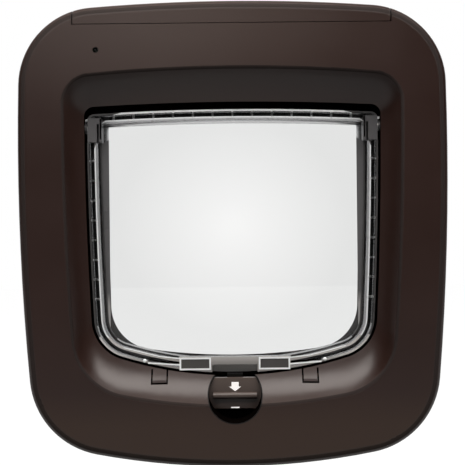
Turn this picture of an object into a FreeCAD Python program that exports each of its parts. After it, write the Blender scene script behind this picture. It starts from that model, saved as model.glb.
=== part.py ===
import FreeCAD, Part
import enum
import math
import os
import Sketcher

# Cat flap for a door, seen from the room. X runs to the right, Z up, and the room side faces -Y.
# The origin is the middle of the four fixing screws, in the plane of the door's inner face.
# The inner unit stands proud of that face, the outer frame lies behind the door, and a telescoping
# tunnel joins them.

vector = FreeCAD.Vector

doc = FreeCAD.newDocument("cat_flap")
sheet = doc.addObject("Spreadsheet::Sheet", "sizes")

DRIVING_SIZES = {
    # Door and wall thicknesses
    "door_thick": 40.0,
    "wall": 2.5,
    "sleeve_wall": 1.8,
    "seam_fit": 0.35,
    "least_corner": 0.8,
    "slide_fit": 0.3,
    # Outline of the inner frame: four long bows joined by four corner arcs
    "frame_top": 115.2,
    "frame_bottom": -116.0,
    "frame_half": 106.7,
    "frame_widest": 38.7,
    "frame_top_bow": 916.0,
    "frame_side_bow": 1290.0,
    "frame_bottom_bow": 362.0,
    "frame_top_corner": 39.3,
    "frame_bottom_corner": 40.9,
    "frame_depth": 34.0,
    "frame_edge_round": 5.0,
    # Flat border from that outline in to the dished surround, whose edge is the crest of the frame
    "border_top": 33.6,
    "border_bottom": 30.8,
    "border_side": 23.2,
    "dish_widest": 60.0,
    "dish_top_bow": 800.0,
    "dish_side_bow": 1500.0,
    "dish_bottom_bow": 290.0,
    "dish_top_corner": 14.0,
    "dish_bottom_corner": 30.0,
    "dish_edge_round": 2.0,
    "bowl_in_share": 0.64,
    "bowl_deep_share": 0.77,
    # Slope of the dish in to the port in which the flap hangs
    "slope_top": 15.4,
    "slope_bottom": 13.3,
    "slope_side": 8.7,
    "port_widest": 58.0,
    "port_top_bow": 1300.0,
    "port_side_bow": 1900.0,
    "port_bottom_bow": 191.3,
    "port_top_corner": 5.0,
    "port_bottom_corner": 21.3,
    "port_deep": 22.5,
    "port_sleeve_long": 6.7,
    # Tunnel through the door
    "duct_step": 1.4,
    "duct_bottom_bow": 330.0,
    "duct_bottom_corner": 26.0,
    "duct_front_gap": 0.3,
    "duct_reach": 30.0,
    "exit_drop": 0.5,
    "exit_sill": 1.0,
    "exit_side": 2.0,
    "exit_top_bow": 850.0,
    "exit_side_bow": 4200.0,
    "exit_top_corner": 3.5,
    "exit_bottom_corner": 25.5,
    # Outer frame
    "outer_inset": 2.0,
    "outer_depth": 12.0,
    "outer_edge_round": 7.0,
    "outer_lead_in": 5.0,
    "outer_sleeve_long": 32.0,
    # Fixing screws through the door, placed from the edge of the dish
    "screw_out": 2.5,
    "screw_down": 5.6,
    "screw_shank": 4.0,
    "screw_neck": 4.6,
    "screw_thread": 3.8,
    "screw_head": 8.0,
    "screw_head_thick": 2.6,
    "screw_slot_wide": 1.0,
    "screw_slot_deep": 1.0,
    "screw_hole_fit": 0.35,
    "screw_boss": 11.0,
    "screw_boss_tall": 6.0,
    "screw_bite": 7.0,
    # Battery cover and tray
    "cover_inset": 27.9,
    "cover_tall": 12.0,
    "cover_back": -7.0,
    "cover_side_gap": 0.6,
    "cover_tongue_wide": 14.0,
    "cover_tongue_long": 8.0,
    "cover_tongue_thick": 1.4,
    "cover_tongue_out": 42.0,
    "cell_round": 14.3,
    "cell_long": 50.2,
    "cell_nipple_round": 5.4,
    "cell_nipple_long": 1.0,
    "cell_fit": 0.3,
    "tray_wall": 1.4,
    "tray_gap": 1.3,
    "tray_middle": 7.0,
    "tray_finger_wide": 18.0,
    "contact_thick": 0.4,
    "contact_room": 1.4,
    "contact_margin": 1.0,
    "contact_dimple": 3.6,
    # Controls
    "button_round": 4.0,
    "button_long": 9.0,
    "button_cap": 5.6,
    "button_cap_thick": 1.4,
    "button_travel": 1.2,
    "button_fit": 0.1,
    "light_out": 8.1,
    "light_down": 24.6,
    "light_round": 2.6,
    "light_fit": 0.15,
    "light_sunk": 0.4,
    "board_wide": 18.0,
    "board_tall": 24.0,
    "board_thick": 1.6,
    "board_stand": 5.0,
    "board_out": 2.6,
    "board_low": 2.6,
    "post_round": 5.0,
    "post_inset": 3.2,
    "board_screw_round": 2.0,
    "board_screw_head": 4.0,
    "board_screw_head_thick": 1.6,
    "board_screw_long": 5.0,
    "board_hole_fit": 0.2,
    "chip_wide": 7.0,
    "chip_rise": 10.0,
    "chip_thick": 1.4,
    "plug_wide": 9.0,
    "plug_tall": 4.0,
    "plug_thick": 5.0,
    "coil_thick": 2.0,
    "coil_deep": 8.0,
    "coil_front": -13.0,
    # Flap
    "flap_gap": 1.3,
    "flap_top_gap": 3.7,
    "flap_thick": 6.0,
    "flap_sunk": 0.5,
    "pane_thick": 1.5,
    "rim_wall": 1.0,
    "rim_cell": 2.6,
    "rim_rib": 1.2,
    "rung_pitch": 10.0,
    "rung_thick": 0.9,
    "rung_deep": 1.5,
    "rung_top_count": 13,
    "rung_side_count": 8,
    "rung_side_drop": 29.2,
    "ladder_end_rise": 25.4,
    "brush_fit": 0.15,
    "step_groove": 1.2,
    "step_rib": 0.7,
    "step_tall": 0.6,
    "hinge_back": 3.8,
    "hinge_drop": 12.4,
    "pin_round": 3.0,
    "pin_fit": 0.05,
    "pin_end_gap": 0.2,
    "bush_round": 5.4,
    "bush_gap": 0.4,
    "bracket_thick": 3.6,
    "bracket_tall": 12.0,
    "bracket_nose": 5.0,
    "clip_wide": 7.0,
    "clip_tall": 12.2,
    "clip_drop": 13.7,
    "clip_proud": 0.2,
    "clip_slit": 1.2,
    "clip_slit_in": 1.75,
    "clip_solid": 2.8,
    "flap_magnet_x": 20.0,
    "flap_magnet_rise": 5.9,
    "flap_magnet_wide": 14.2,
    "flap_magnet_tall": 4.6,
    "flap_magnet_thick": 3.0,
    "magnet_wall": 1.2,
    "catch_half": 11.4,
    "catch_tall": 4.2,
    "catch_wall": 2.4,
    # Lock slide and latch, placed down from the lowest point of the port
    "window_round": 26.4,
    "window_drop": 8.6,
    "collar_wall": 1.4,
    "slide_sunk": 0.2,
    "slide_plate_thick": 2.1,
    "slide_half": 14.0,
    "slide_shoulder": 3.2,
    "slide_drop": 1.2,
    "slide_tall": 15.5,
    "slide_travel": 3.8,
    "slide_ridge_half": 11.0,
    "slide_ridge_tall": 3.4,
    "slide_ridge_out": 2.4,
    "slide_ridge_drop": 8.9,
    "guide_thick": 1.6,
    "guide_lip": 1.6,
    "guide_lip_thick": 1.0,
    "guide_stop_wide": 2.6,
    "latch_half": 4.0,
    "latch_strip": 1.1,
    "latch_rise": 0.7,
    "latch_tall": 12.8,
    "latch_travel": 4.0,
    "plunger_round": 5.0,
    "plunger_back": 9.5,
    "plunger_long": 16.0,
    "solenoid_wall": 3.5,
    "solenoid_wide": 18.0,
    "solenoid_floor": 2.0,
    "sill_magnet_x": 23.6,
    "sill_magnet_wide": 14.0,
    "sill_magnet_tall": 3.0,
    "sill_magnet_thick": 4.0,
    # Snap tabs in the lower slope
    "tab_x": 37.9,
    "tab_half": 3.4,
    "tab_rise": 3.6,
    "tab_tall": 6.4,
    "tab_slit": 0.8,
}


class Size:
    """A length from the sheet: its number now, and the formula that binds an object to it."""

    def __init__(self, formula, number):
        self.formula = formula
        self.number = number

    def joined(self, sign, other, number):
        return Size(f"({self.formula} {sign} {other.formula})", number)

    def __add__(self, other):
        other = as_size(other)
        return self.joined("+", other, self.number + other.number)

    def __sub__(self, other):
        other = as_size(other)
        return self.joined("-", other, self.number - other.number)

    def __mul__(self, other):
        other = as_size(other)
        return self.joined("*", other, self.number * other.number)

    def __truediv__(self, other):
        other = as_size(other)
        return self.joined("/", other, self.number / other.number)

    def __neg__(self):
        return Size(f"(0 - {self.formula})", -self.number)

    __radd__ = __add__


def as_size(value):
    """A plain number or a Size, as a Size."""
    if isinstance(value, Size):
        return value
    return Size(repr(float(value)), float(value))


def at_least(value, least):
    """The larger of two Sizes."""
    return Size(f"max({value.formula}; {least.formula})", max(value.number, least.number))


for row, (alias, number) in enumerate(DRIVING_SIZES.items(), start=1):
    sheet.set(f"A{row}", alias.replace("_", " "))
    sheet.set(f"B{row}", str(number))
    sheet.setAlias(f"B{row}", alias)
doc.recompute()


def size(alias):
    """The Size that a named cell of the sheet holds."""
    return Size(f"sizes.{alias}", float(sheet.get(alias)))


def count(alias):
    return int(sheet.get(alias))


def in_order(first, second):
    """Two Sizes, the lower one first."""
    return (first, second) if first.number < second.number else (second, first)


def bind(item, field, value):
    """Tie one property of an object to a Size."""
    item.setExpression(field, as_size(value).formula)


# Outlines

class Outline:
    """Four long bows, widest at one height, joined by tangent corner arcs."""

    FIELDS = ("top", "bottom", "half", "widest", "top_bow", "side_bow", "bottom_bow", "top_corner",
              "bottom_corner")

    def __init__(self, **fields):
        for name in self.FIELDS:
            setattr(self, name, fields[name])

    def inset(self, amount):
        """The same outline drawn inside this one at a constant distance."""
        fields = {name: getattr(self, name) - amount for name in self.FIELDS}
        fields["bottom"] = self.bottom + amount
        fields["widest"] = self.widest
        for name in ("top_corner", "bottom_corner"):
            fields[name] = at_least(fields[name], size("least_corner"))
        return Outline(**fields)

    def changed(self, **fields):
        """The same outline with some of its sizes replaced."""
        kept = {name: getattr(self, name) for name in self.FIELDS}
        kept.update(fields)
        return Outline(**kept)

    def towards(self, other, share):
        """The outline that lies a share of the way from this one to another."""
        fields = {}
        for name in self.FIELDS:
            here = getattr(self, name)
            fields[name] = here + (getattr(other, name) - here) * share
        return Outline(**fields)


def outline_within(outer, prefix, border):
    """An outline inside another: its reach by named borders from the outer one, its curves by name."""
    curves = ("widest", "top_bow", "side_bow", "bottom_bow", "top_corner", "bottom_corner")
    return outer.changed(top=outer.top - size(f"{border}_top"),
                         bottom=outer.bottom + size(f"{border}_bottom"),
                         half=outer.half - size(f"{border}_side"),
                         **{name: size(f"{prefix}_{name}") for name in curves})


def right_crossing(first, first_reach, second, second_reach):
    """The right-hand point where two circles meet."""
    span = second - first
    along = (first_reach ** 2 - second_reach ** 2 + span.Length ** 2) / (2 * span.Length)
    across = math.sqrt(first_reach ** 2 - along ** 2)
    unit = vector(span).normalize()
    side = vector(-unit.y, unit.x, 0)
    middle = first + unit * along
    return max((middle + side * across, middle - side * across), key=lambda point: point.x)


def arc_between(centre, radius, start, end):
    """An anticlockwise arc that starts and ends on the rays from its centre along two directions."""
    first = math.atan2(start.y, start.x)
    last = math.atan2(end.y, end.x)
    if last <= first:
        last += 2 * math.pi
    return Part.ArcOfCircle(Part.Circle(centre, vector(0, 0, 1), radius), first, last)


def mirrored(point):
    return vector(-point.x, point.y, 0)


def outline_arcs(shape):
    """The eight arcs of an outline, anticlockwise from the right side."""
    top = vector(0, (shape.top - shape.top_bow).number, 0)
    low = vector(0, (shape.bottom + shape.bottom_bow).number, 0)
    side = vector((shape.half - shape.side_bow).number, shape.widest.number, 0)
    side_reach = shape.side_bow.number
    upper_round = shape.top_corner.number
    lower_round = shape.bottom_corner.number
    upper = right_crossing(top, shape.top_bow.number - upper_round, side, side_reach - upper_round)
    lower = right_crossing(low, shape.bottom_bow.number - lower_round, side, side_reach - lower_round)
    left = mirrored(side)
    upper_left = mirrored(upper)
    lower_left = mirrored(lower)
    return [
        arc_between(side, side_reach, lower - side, upper - side),
        arc_between(upper, upper_round, upper - side, upper - top),
        arc_between(top, shape.top_bow.number, upper - top, upper_left - top),
        arc_between(upper_left, upper_round, upper_left - top, upper_left - left),
        arc_between(left, side_reach, upper_left - left, lower_left - left),
        arc_between(lower_left, lower_round, lower_left - left, lower_left - low),
        arc_between(low, shape.bottom_bow.number, lower_left - low, lower - low),
        arc_between(lower, lower_round, lower - low, lower - side),
    ]


class ArcPoint(enum.IntEnum):
    """The numbers by which a sketch knows the points of an arc."""

    START = enum.auto()
    END = enum.auto()
    CENTRE = enum.auto()


def sketch_axes():
    """The numbers by which a sketch knows its level and its upright axis."""
    return -ArcPoint.START, -ArcPoint.END


def root_point():
    """The point where a sketch's two axes meet."""
    return sketch_axes()[0], ArcPoint.START


def constrain(sketch, value, *spec):
    """Add one constraint and tie its value to a Size."""
    index = sketch.addConstraint(Sketcher.Constraint(*spec, value.number))
    sketch.setExpression(f"Constraints[{index}]", value.formula)


def draw_outline(sketch, shape):
    """Draw an outline and constrain it fully: tangent joints, radii and the places of the bows."""
    first = sketch.GeometryCount
    for arc in outline_arcs(shape):
        sketch.addGeometry(arc, False)
    right, upper, top, upper_left, left, lower_left, low, lower = range(first, first + 8)
    loop = [right, upper, top, upper_left, left, lower_left, low, lower]
    for here, after in zip(loop, loop[1:] + loop[:1]):
        sketch.addConstraint(Sketcher.Constraint("Tangent", here, ArcPoint.END, after, ArcPoint.START))
    centre = ArcPoint.CENTRE
    root = root_point()
    for bow in (top, low):
        sketch.addConstraint(Sketcher.Constraint("PointOnObject", bow, centre, sketch_axes()[1]))
    constrain(sketch, shape.top_bow - shape.top, "DistanceY", top, centre, *root)
    constrain(sketch, shape.bottom + shape.bottom_bow, "DistanceY", *root, low, centre)
    constrain(sketch, shape.side_bow - shape.half, "DistanceX", right, centre, *root)
    constrain(sketch, shape.side_bow - shape.half, "DistanceX", *root, left, centre)
    for bow in (right, left):
        constrain(sketch, shape.widest, "DistanceY", *root, bow, centre)
        constrain(sketch, shape.side_bow, "Radius", bow)
    constrain(sketch, shape.top_bow, "Radius", top)
    constrain(sketch, shape.bottom_bow, "Radius", low)
    for corner in (upper, upper_left):
        constrain(sketch, shape.top_corner, "Radius", corner)
    for corner in (lower, lower_left):
        constrain(sketch, shape.bottom_corner, "Radius", corner)


# Bodies and features

def new_body(name):
    return doc.addObject("PartDesign::Body", name)


def upright_sketch(body, name, level):
    """A sketch parallel to the door at Y = level, with X to the right and Z up."""
    sketch = body.newObject("Sketcher::SketchObject", name)
    plane = next(item for item in body.Origin.OriginFeatures if item.Role == "XZ_Plane")
    sketch.AttachmentSupport = (plane, "")
    sketch.MapMode = "FlatFace"
    bind(sketch, "AttachmentOffset.Base.z", -as_size(level))
    return sketch


def outline_sketch(body, name, level, *shapes):
    sketch = upright_sketch(body, name, level)
    for shape in shapes:
        draw_outline(sketch, shape)
    return sketch


def pad(body, name, sketch, length, towards_room=True):
    """Raise a sketch towards the room, or away from it."""
    feature = body.newObject("PartDesign::Pad", name)
    feature.Profile = sketch
    feature.Reversed = not towards_room
    bind(feature, "Length", length)
    doc.recompute()
    return feature


def pocket(body, name, sketch, length, towards_room=True):
    """Sink a sketch towards the room, or away from it, and make sure that it cuts."""
    before = body.Shape.Volume
    feature = body.newObject("PartDesign::Pocket", name)
    feature.Profile = sketch
    feature.Reversed = towards_room
    bind(feature, "Length", length)
    doc.recompute()
    if body.Shape.Volume >= before:
        raise RuntimeError(f"{name} cuts nothing")
    return feature


def face_names_at(feature, level):
    """The names of the flat faces of a feature that lie in the plane Y = level."""
    names = []
    for index, face in enumerate(feature.Shape.Faces, start=1):
        if abs(face.BoundBox.YMin - level) < 1e-4 and abs(face.BoundBox.YMax - level) < 1e-4:
            names.append(f"Face{index}")
    return names


def round_face(body, name, feature, level, radius):
    """Round the edges of the flat face at Y = level."""
    fillet = body.newObject("PartDesign::Fillet", name)
    fillet.Base = (feature, face_names_at(feature, level.number))
    bind(fillet, "Radius", radius)
    doc.recompute()
    return fillet


def inner_edge_names(feature, level):
    """The names of the edges round the hole in the flat face at Y = level."""
    face = feature.Shape.getElement(face_names_at(feature, level)[0])
    ring = [edge for wire in face.Wires if not wire.isSame(face.OuterWire) for edge in wire.Edges]
    return [f"Edge{index}" for index, edge in enumerate(feature.Shape.Edges, start=1)
            if any(edge.isSame(other) for other in ring)]


def round_hole(body, name, feature, level, radius):
    """Round the edges of the hole in the flat face at Y = level."""
    fillet = body.newObject("PartDesign::Fillet", name)
    fillet.Base = (feature, inner_edge_names(feature, level.number))
    bind(fillet, "Radius", radius)
    doc.recompute()
    return fillet


def cut_loft(body, name, near, *others):
    """Cut the space between sketches: ruled between two, smooth through more."""
    before = body.Shape.Volume
    loft = body.newObject("PartDesign::SubtractiveLoft", name)
    loft.Profile = near
    loft.Sections = list(others)
    loft.Ruled = len(others) < 2
    doc.recompute()
    if body.Shape.Volume >= before:
        raise RuntimeError(f"{name} cuts nothing")
    return loft


# Simple solids and booleans

def block(name, low, high):
    """A box between two corners, each given as three Sizes or numbers."""
    item = doc.addObject("Part::Box", name)
    for field, axis, near, far in zip(("Length", "Width", "Height"), "xyz", low, high):
        bind(item, field, as_size(far) - as_size(near))
        bind(item, f"Placement.Base.{axis}", near)
    return item


AXIS_TURNS = {
    "x": FreeCAD.Rotation(vector(0, 1, 0), 90),
    "y": FreeCAD.Rotation(vector(1, 0, 0), -90),
    "z": FreeCAD.Rotation(),
}


def rod(name, axis, base, length, diameter):
    """A cylinder from its base point along +X, +Y or +Z."""
    item = doc.addObject("Part::Cylinder", name)
    item.Placement = FreeCAD.Placement(vector(), AXIS_TURNS[axis])
    bind(item, "Radius", as_size(diameter) / 2)
    bind(item, "Height", length)
    for letter, place in zip("xyz", base):
        bind(item, f"Placement.Base.{letter}", place)
    return item


def fuse(name, items):
    if len(items) == 1:
        return items[0]
    item = doc.addObject("Part::MultiFuse", name)
    item.Shapes = items
    return item


def cut(name, base, tools):
    item = doc.addObject("Part::Cut", name)
    item.Base = base
    item.Tool = fuse(f"{name}_tools", tools)
    return item


def common(name, first, second):
    item = doc.addObject("Part::Common", name)
    item.Base = first
    item.Tool = second
    return item


def group(name, items):
    """Separate solids that share one node."""
    item = doc.addObject("Part::Compound", name)
    item.Links = items
    return item


finished = {}


def finish(name, item):
    """Give a finished sub-part the name of its node."""
    item.Label = name
    finished[name] = item
    return item


SIDES = {"left": -1, "right": 1}

frame_outline = Outline(**{name: size(f"frame_{name}") for name in Outline.FIELDS})
dish_outline = outline_within(frame_outline, "dish", "border")
port_outline = outline_within(dish_outline, "port", "slope")
duct_outline = port_outline.inset(-size("duct_step")).changed(
    bottom_bow=size("duct_bottom_bow"), bottom_corner=size("duct_bottom_corner"))
exit_outline = duct_outline.changed(
    top=port_outline.top - size("exit_drop"), bottom=port_outline.bottom + size("exit_sill"),
    half=port_outline.half - size("exit_side"), top_bow=size("exit_top_bow"),
    side_bow=size("exit_side_bow"), top_corner=size("exit_top_corner"),
    bottom_corner=size("exit_bottom_corner"))
flap_outline = port_outline.inset(size("flap_gap")).changed(top=port_outline.top - size("flap_top_gap"))

wall = size("wall")
frame_front = -size("frame_depth")
port_front = -size("port_deep")
port_back = port_front + size("port_sleeve_long")
duct_front = port_back + size("duct_front_gap")
duct_wall_outline = duct_outline.inset(-size("sleeve_wall"))
coil_inner_outline = duct_wall_outline.inset(-size("slide_fit"))
coil_outer_outline = coil_inner_outline.inset(-size("coil_thick"))
hinge_y = port_front + size("hinge_back") + size("flap_sunk")
hinge_z = port_outline.top - size("hinge_drop")
flap_front = port_front + size("flap_sunk")
flap_back = flap_front + size("flap_thick")
pane_front = flap_back - size("pane_thick")
bracket_inner = coil_outer_outline.half + size("slide_fit")
bracket_outer = bracket_inner + size("bracket_thick")
window_z = port_outline.bottom - size("window_drop")
slide_front = port_front + size("slide_sunk")
slide_back = slide_front + size("slide_plate_thick")
slide_top = port_outline.bottom - size("slide_drop")
slide_bottom = slide_top - size("slide_tall")
past = as_size(2.0)


# Inner frame: a domed moulded shell with a dished surround that leads to the port

def dish_cut(body, name, grow, shift):
    """Cut the bowl of the dish from a body, grown by a wall and moved back by a share of it."""
    bowl_outline = dish_outline.towards(port_outline, size("bowl_in_share"))
    bowl_level = frame_front + (port_front - frame_front) * size("bowl_deep_share")
    crest = outline_sketch(body, f"{name}_crest", frame_front + shift, dish_outline.inset(-grow))
    bowl = outline_sketch(body, f"{name}_bowl", bowl_level + shift, bowl_outline.inset(-grow))
    throat = outline_sketch(body, f"{name}_throat", port_front + shift, port_outline.inset(-grow))
    return cut_loft(body, name, crest, bowl, throat)


def frame_blank():
    """The frame as a solid, with its rolled edge, dish and port."""
    body = new_body("frame_blank")
    base = outline_sketch(body, "frame_outline", 0, frame_outline)
    raised = pad(body, "frame_raised", base, size("frame_depth"))
    round_face(body, "frame_edge", raised, frame_front, size("frame_edge_round"))
    dish = dish_cut(body, "frame_dish", as_size(0), as_size(0))
    round_hole(body, "crest_edge", dish, frame_front, size("dish_edge_round"))
    hole = outline_sketch(body, "port_hole_outline", 0, port_outline)
    pocket(body, "port_hole", hole, size("frame_depth") + past, True)
    return body


def frame_cavity():
    """The space inside the frame's walls, open towards the door."""
    body = new_body("frame_cavity")
    base = outline_sketch(body, "cavity_outline", 0, frame_outline.inset(wall))
    raised = pad(body, "cavity_raised", base, size("frame_depth") - wall)
    round_face(body, "cavity_edge", raised, frame_front + wall, size("frame_edge_round") - wall)
    dish_cut(body, "cavity_dish", wall, wall / 2)
    sleeve = outline_sketch(body, "cavity_port", port_back, port_outline.inset(-wall))
    pocket(body, "cavity_sleeve", sleeve, size("frame_depth"), True)
    return body


solid_frame = frame_blank()
frame_shell = cut("frame_shell", solid_frame, [frame_cavity()])


def window_cylinder(name, diameter, near, far):
    return rod(name, "y", (0, near, window_z), far - near, diameter)


def window_collar():
    """The round wall that runs back from the lock window to the slide."""
    outside = size("window_round") + size("collar_wall") * 2
    post = window_cylinder("collar_post", outside, frame_front, slide_front - size("slide_fit"))
    return common("collar_inside_frame", post, solid_frame)


def slide_room():
    """The pocket in the back of the slope that the top of the slide moves in."""
    half = size("slide_half") + size("slide_fit")
    low = slide_bottom - size("slide_travel") - size("slide_fit")
    return block("slide_room", (-half, slide_front - size("slide_fit"), low), (half, port_back, slide_top))


def slide_guides():
    """Two channels behind the border that the lock slide runs in, each closed by a stop at its foot."""
    inner = size("slide_half") + size("slide_fit")
    outer = inner + size("guide_thick")
    lip = size("slide_half") - size("guide_lip")
    lip_front = slide_back + size("slide_fit")
    lip_back = lip_front + size("guide_lip_thick")
    top = slide_top - size("slide_shoulder")
    stop = slide_bottom - size("slide_travel") - size("slide_fit")
    low = stop - size("guide_thick")
    root = frame_front + wall / 2
    pieces = []
    for side, sign in SIDES.items():
        for part, near, far, front, back, foot, head in (
                ("wall", inner, outer, root, lip_back, low, top),
                ("lip", lip, inner, lip_front, lip_back, low, top),
                ("stop", inner - size("guide_stop_wide"), inner, root, lip_back, low, stop)):
            left, right = in_order(near * sign, far * sign)
            pieces.append(block(f"guide_{part}_{side}", (left, front, foot), (right, back, head)))
    return fuse("slide_guides", pieces)


def tab_slit(side, sign):
    """The narrow cut round three sides of a snap tab."""
    half = size("tab_half")
    slit = size("tab_slit")
    middle = size("tab_x") * sign
    top = port_outline.bottom + size("tab_rise")
    low = top - size("tab_tall")
    outer = block(f"tab_{side}_outer", (middle - half - slit, frame_front - past, low - slit),
                  (middle + half + slit, port_back - wall, top))
    inner = block(f"tab_{side}_inner", (middle - half, frame_front - past * 2, low),
                  (middle + half, port_back, top + past))
    return cut(f"tab_{side}_slit", outer, [inner])


cover_half = frame_outline.half - size("cover_inset")
cover_seam = frame_outline.top - size("cover_tall")
tray_floor = coil_outer_outline.top + size("tray_gap")
cell_y = -wall - size("slide_fit") - size("tray_wall") - size("cell_fit") - size("cell_round") / 2
cell_pitch = size("cell_round") + size("cell_fit") * 2
first_row = tray_floor + size("tray_wall") + cell_pitch / 2
cell_rows = [first_row, first_row + cell_pitch]
cell_near = size("tray_middle") / 2 + size("contact_room")
cell_span = size("cell_long") + size("cell_nipple_long")
cell_far = cell_near + cell_span
tray_half = cell_far + size("contact_room") + size("tray_wall")
tray_front = cell_y - size("cell_round") / 2 - size("cell_fit") - size("tray_wall")
tray_back = -wall - size("slide_fit")
tray_top = tray_floor + size("tray_wall") + cell_pitch * 2
light_x = -tray_half - size("light_out")
light_z = frame_outline.top - size("light_down")
board_right = -tray_half - size("board_out")
board_bottom = coil_outer_outline.top + size("board_low")
board_back = -wall - size("board_stand")
board_front = board_back - size("board_thick")


def cover_space(name, side_gap, low_gap, back_gap):
    half = cover_half - side_gap
    return block(name, (-half, frame_front - past, cover_seam + low_gap),
                 (half, size("cover_back") - back_gap, frame_outline.top + past))


def hinge_hole(side, sign, name, diameter, inner, outer):
    """A round bore on the hinge axis between two distances from the middle."""
    start = inner if sign > 0 else -outer
    return rod(f"{name}_{side}", "x", (start, hinge_y, hinge_z), outer - inner, diameter)


def interior_frame():
    tools = [
        window_cylinder("lock_window", size("window_round"), frame_front - past, port_back + past),
        cover_space("cover_opening", as_size(0), as_size(0), as_size(0)),
        rod("light_hole", "y", (light_x, frame_front - past, light_z), wall + past * 2,
            size("light_round") + size("light_fit") * 2),
    ]
    for side, sign in SIDES.items():
        tools.append(tab_slit(side, sign))
        tools.append(hinge_hole(side, sign, "port_notch", size("bush_round") + size("slide_fit") * 2,
                                port_outline.half - past, port_outline.half + wall + past))
    relieved = cut("frame_relieved", frame_shell, [slide_room()])
    solid = fuse("frame_with_collar", [relieved, window_collar(), slide_guides()])
    return finish("interior_frame", cut("frame_cut", solid, tools))


def battery_cover():
    """The lift-off cap over the cells, cut from the same shell, with two guide tongues."""
    gap = size("seam_fit")
    cap = common("cover_cap", frame_shell, cover_space("cover_block", size("cover_side_gap"), gap, gap))
    pieces = [cap]
    behind = frame_front + wall
    for side, sign in SIDES.items():
        middle = size("cover_tongue_out") * sign
        half = size("cover_tongue_wide") / 2
        back = behind + gap + size("cover_tongue_thick")
        foot = cover_seam - size("cover_tongue_long")
        tongue = block(f"cover_tongue_{side}", (middle - half, behind + gap, foot),
                       (middle + half, back, cover_seam + past))
        root = block(f"cover_root_{side}", (middle - half, behind - wall / 4, cover_seam + gap),
                     (middle + half, back, cover_seam + past * 2))
        pieces += [tongue, root]
    return finish("battery_cover", fuse("cover_with_tongues", pieces))


# Inner housing: the plate behind the frame, with the tunnel, hinge brackets and screw bosses

def screw_places():
    """The names and places of the four fixing screws."""
    places = []
    for side, sign in SIDES.items():
        for height, step in (("upper", 1), ("lower", -1)):
            across = (dish_outline.half + size("screw_out")) * sign
            high = (dish_outline.top - size("screw_down")) * step
            places.append((f"{height}_{side}", across, high))
    return places


def board_post_places():
    """The names and places of the two posts that hold the board, in opposite corners of it."""
    inset = size("post_inset")
    return [("outer", board_right - size("board_wide") + inset, board_bottom + inset),
            ("inner", board_right - inset, board_bottom + size("board_tall") - inset)]


def housing_plate():
    body = new_body("housing_plate")
    edge = outline_sketch(body, "plate_outline", 0, frame_outline.inset(wall + size("seam_fit")))
    pad(body, "plate", edge, wall)
    tunnel = outline_sketch(body, "tunnel_outline", size("duct_reach"), duct_wall_outline)
    pad(body, "tunnel", tunnel, size("duct_reach") - duct_front)
    bore = outline_sketch(body, "tunnel_bore_outline", size("duct_reach"), duct_outline)
    pocket(body, "tunnel_bore", bore, size("duct_reach") - duct_front, True)
    return body


def hinge_bracket(side, sign):
    """An arm from the plate beside the port, bored for the hinge bush."""
    low, high = in_order(bracket_inner * sign, bracket_outer * sign)
    half = size("bracket_tall") / 2
    front = hinge_y - size("bracket_nose")
    return block(f"bracket_{side}", (low, front, hinge_z - half), (high, -wall / 2, hinge_z + half))


def inner_housing():
    solids = [housing_plate()]
    bores = []
    neck_bore = size("screw_neck") + size("screw_hole_fit") * 2
    for name, across, high in screw_places():
        solids.append(rod(f"boss_{name}", "y", (across, -size("screw_boss_tall"), high),
                          size("screw_boss_tall") - wall / 2, size("screw_boss")))
        bores.append(rod(f"boss_bore_{name}", "y", (across, -size("screw_boss_tall") - past, high),
                         size("screw_boss_tall") + past * 2, neck_bore))
    for side, sign in SIDES.items():
        solids.append(hinge_bracket(side, sign))
        bores.append(hinge_hole(side, sign, "bush_bore", size("bush_round") + size("pin_fit") * 2,
                                bracket_inner - past, bracket_outer + past))
    for name, across, high in board_post_places():
        solids.append(rod(f"post_{name}", "y", (across, board_back, high), size("board_stand") + wall / 2,
                          size("post_round")))
        bores.append(rod(f"post_bore_{name}", "y", (across, board_back - past, high),
                         size("board_stand") + past, size("board_screw_round") + size("pin_fit") * 2))
    return finish("inner_housing", cut("housing_cut", fuse("housing_solids", solids), bores))


# Outer frame: a flat moulded shell behind the door, with the outer half of the tunnel

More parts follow.
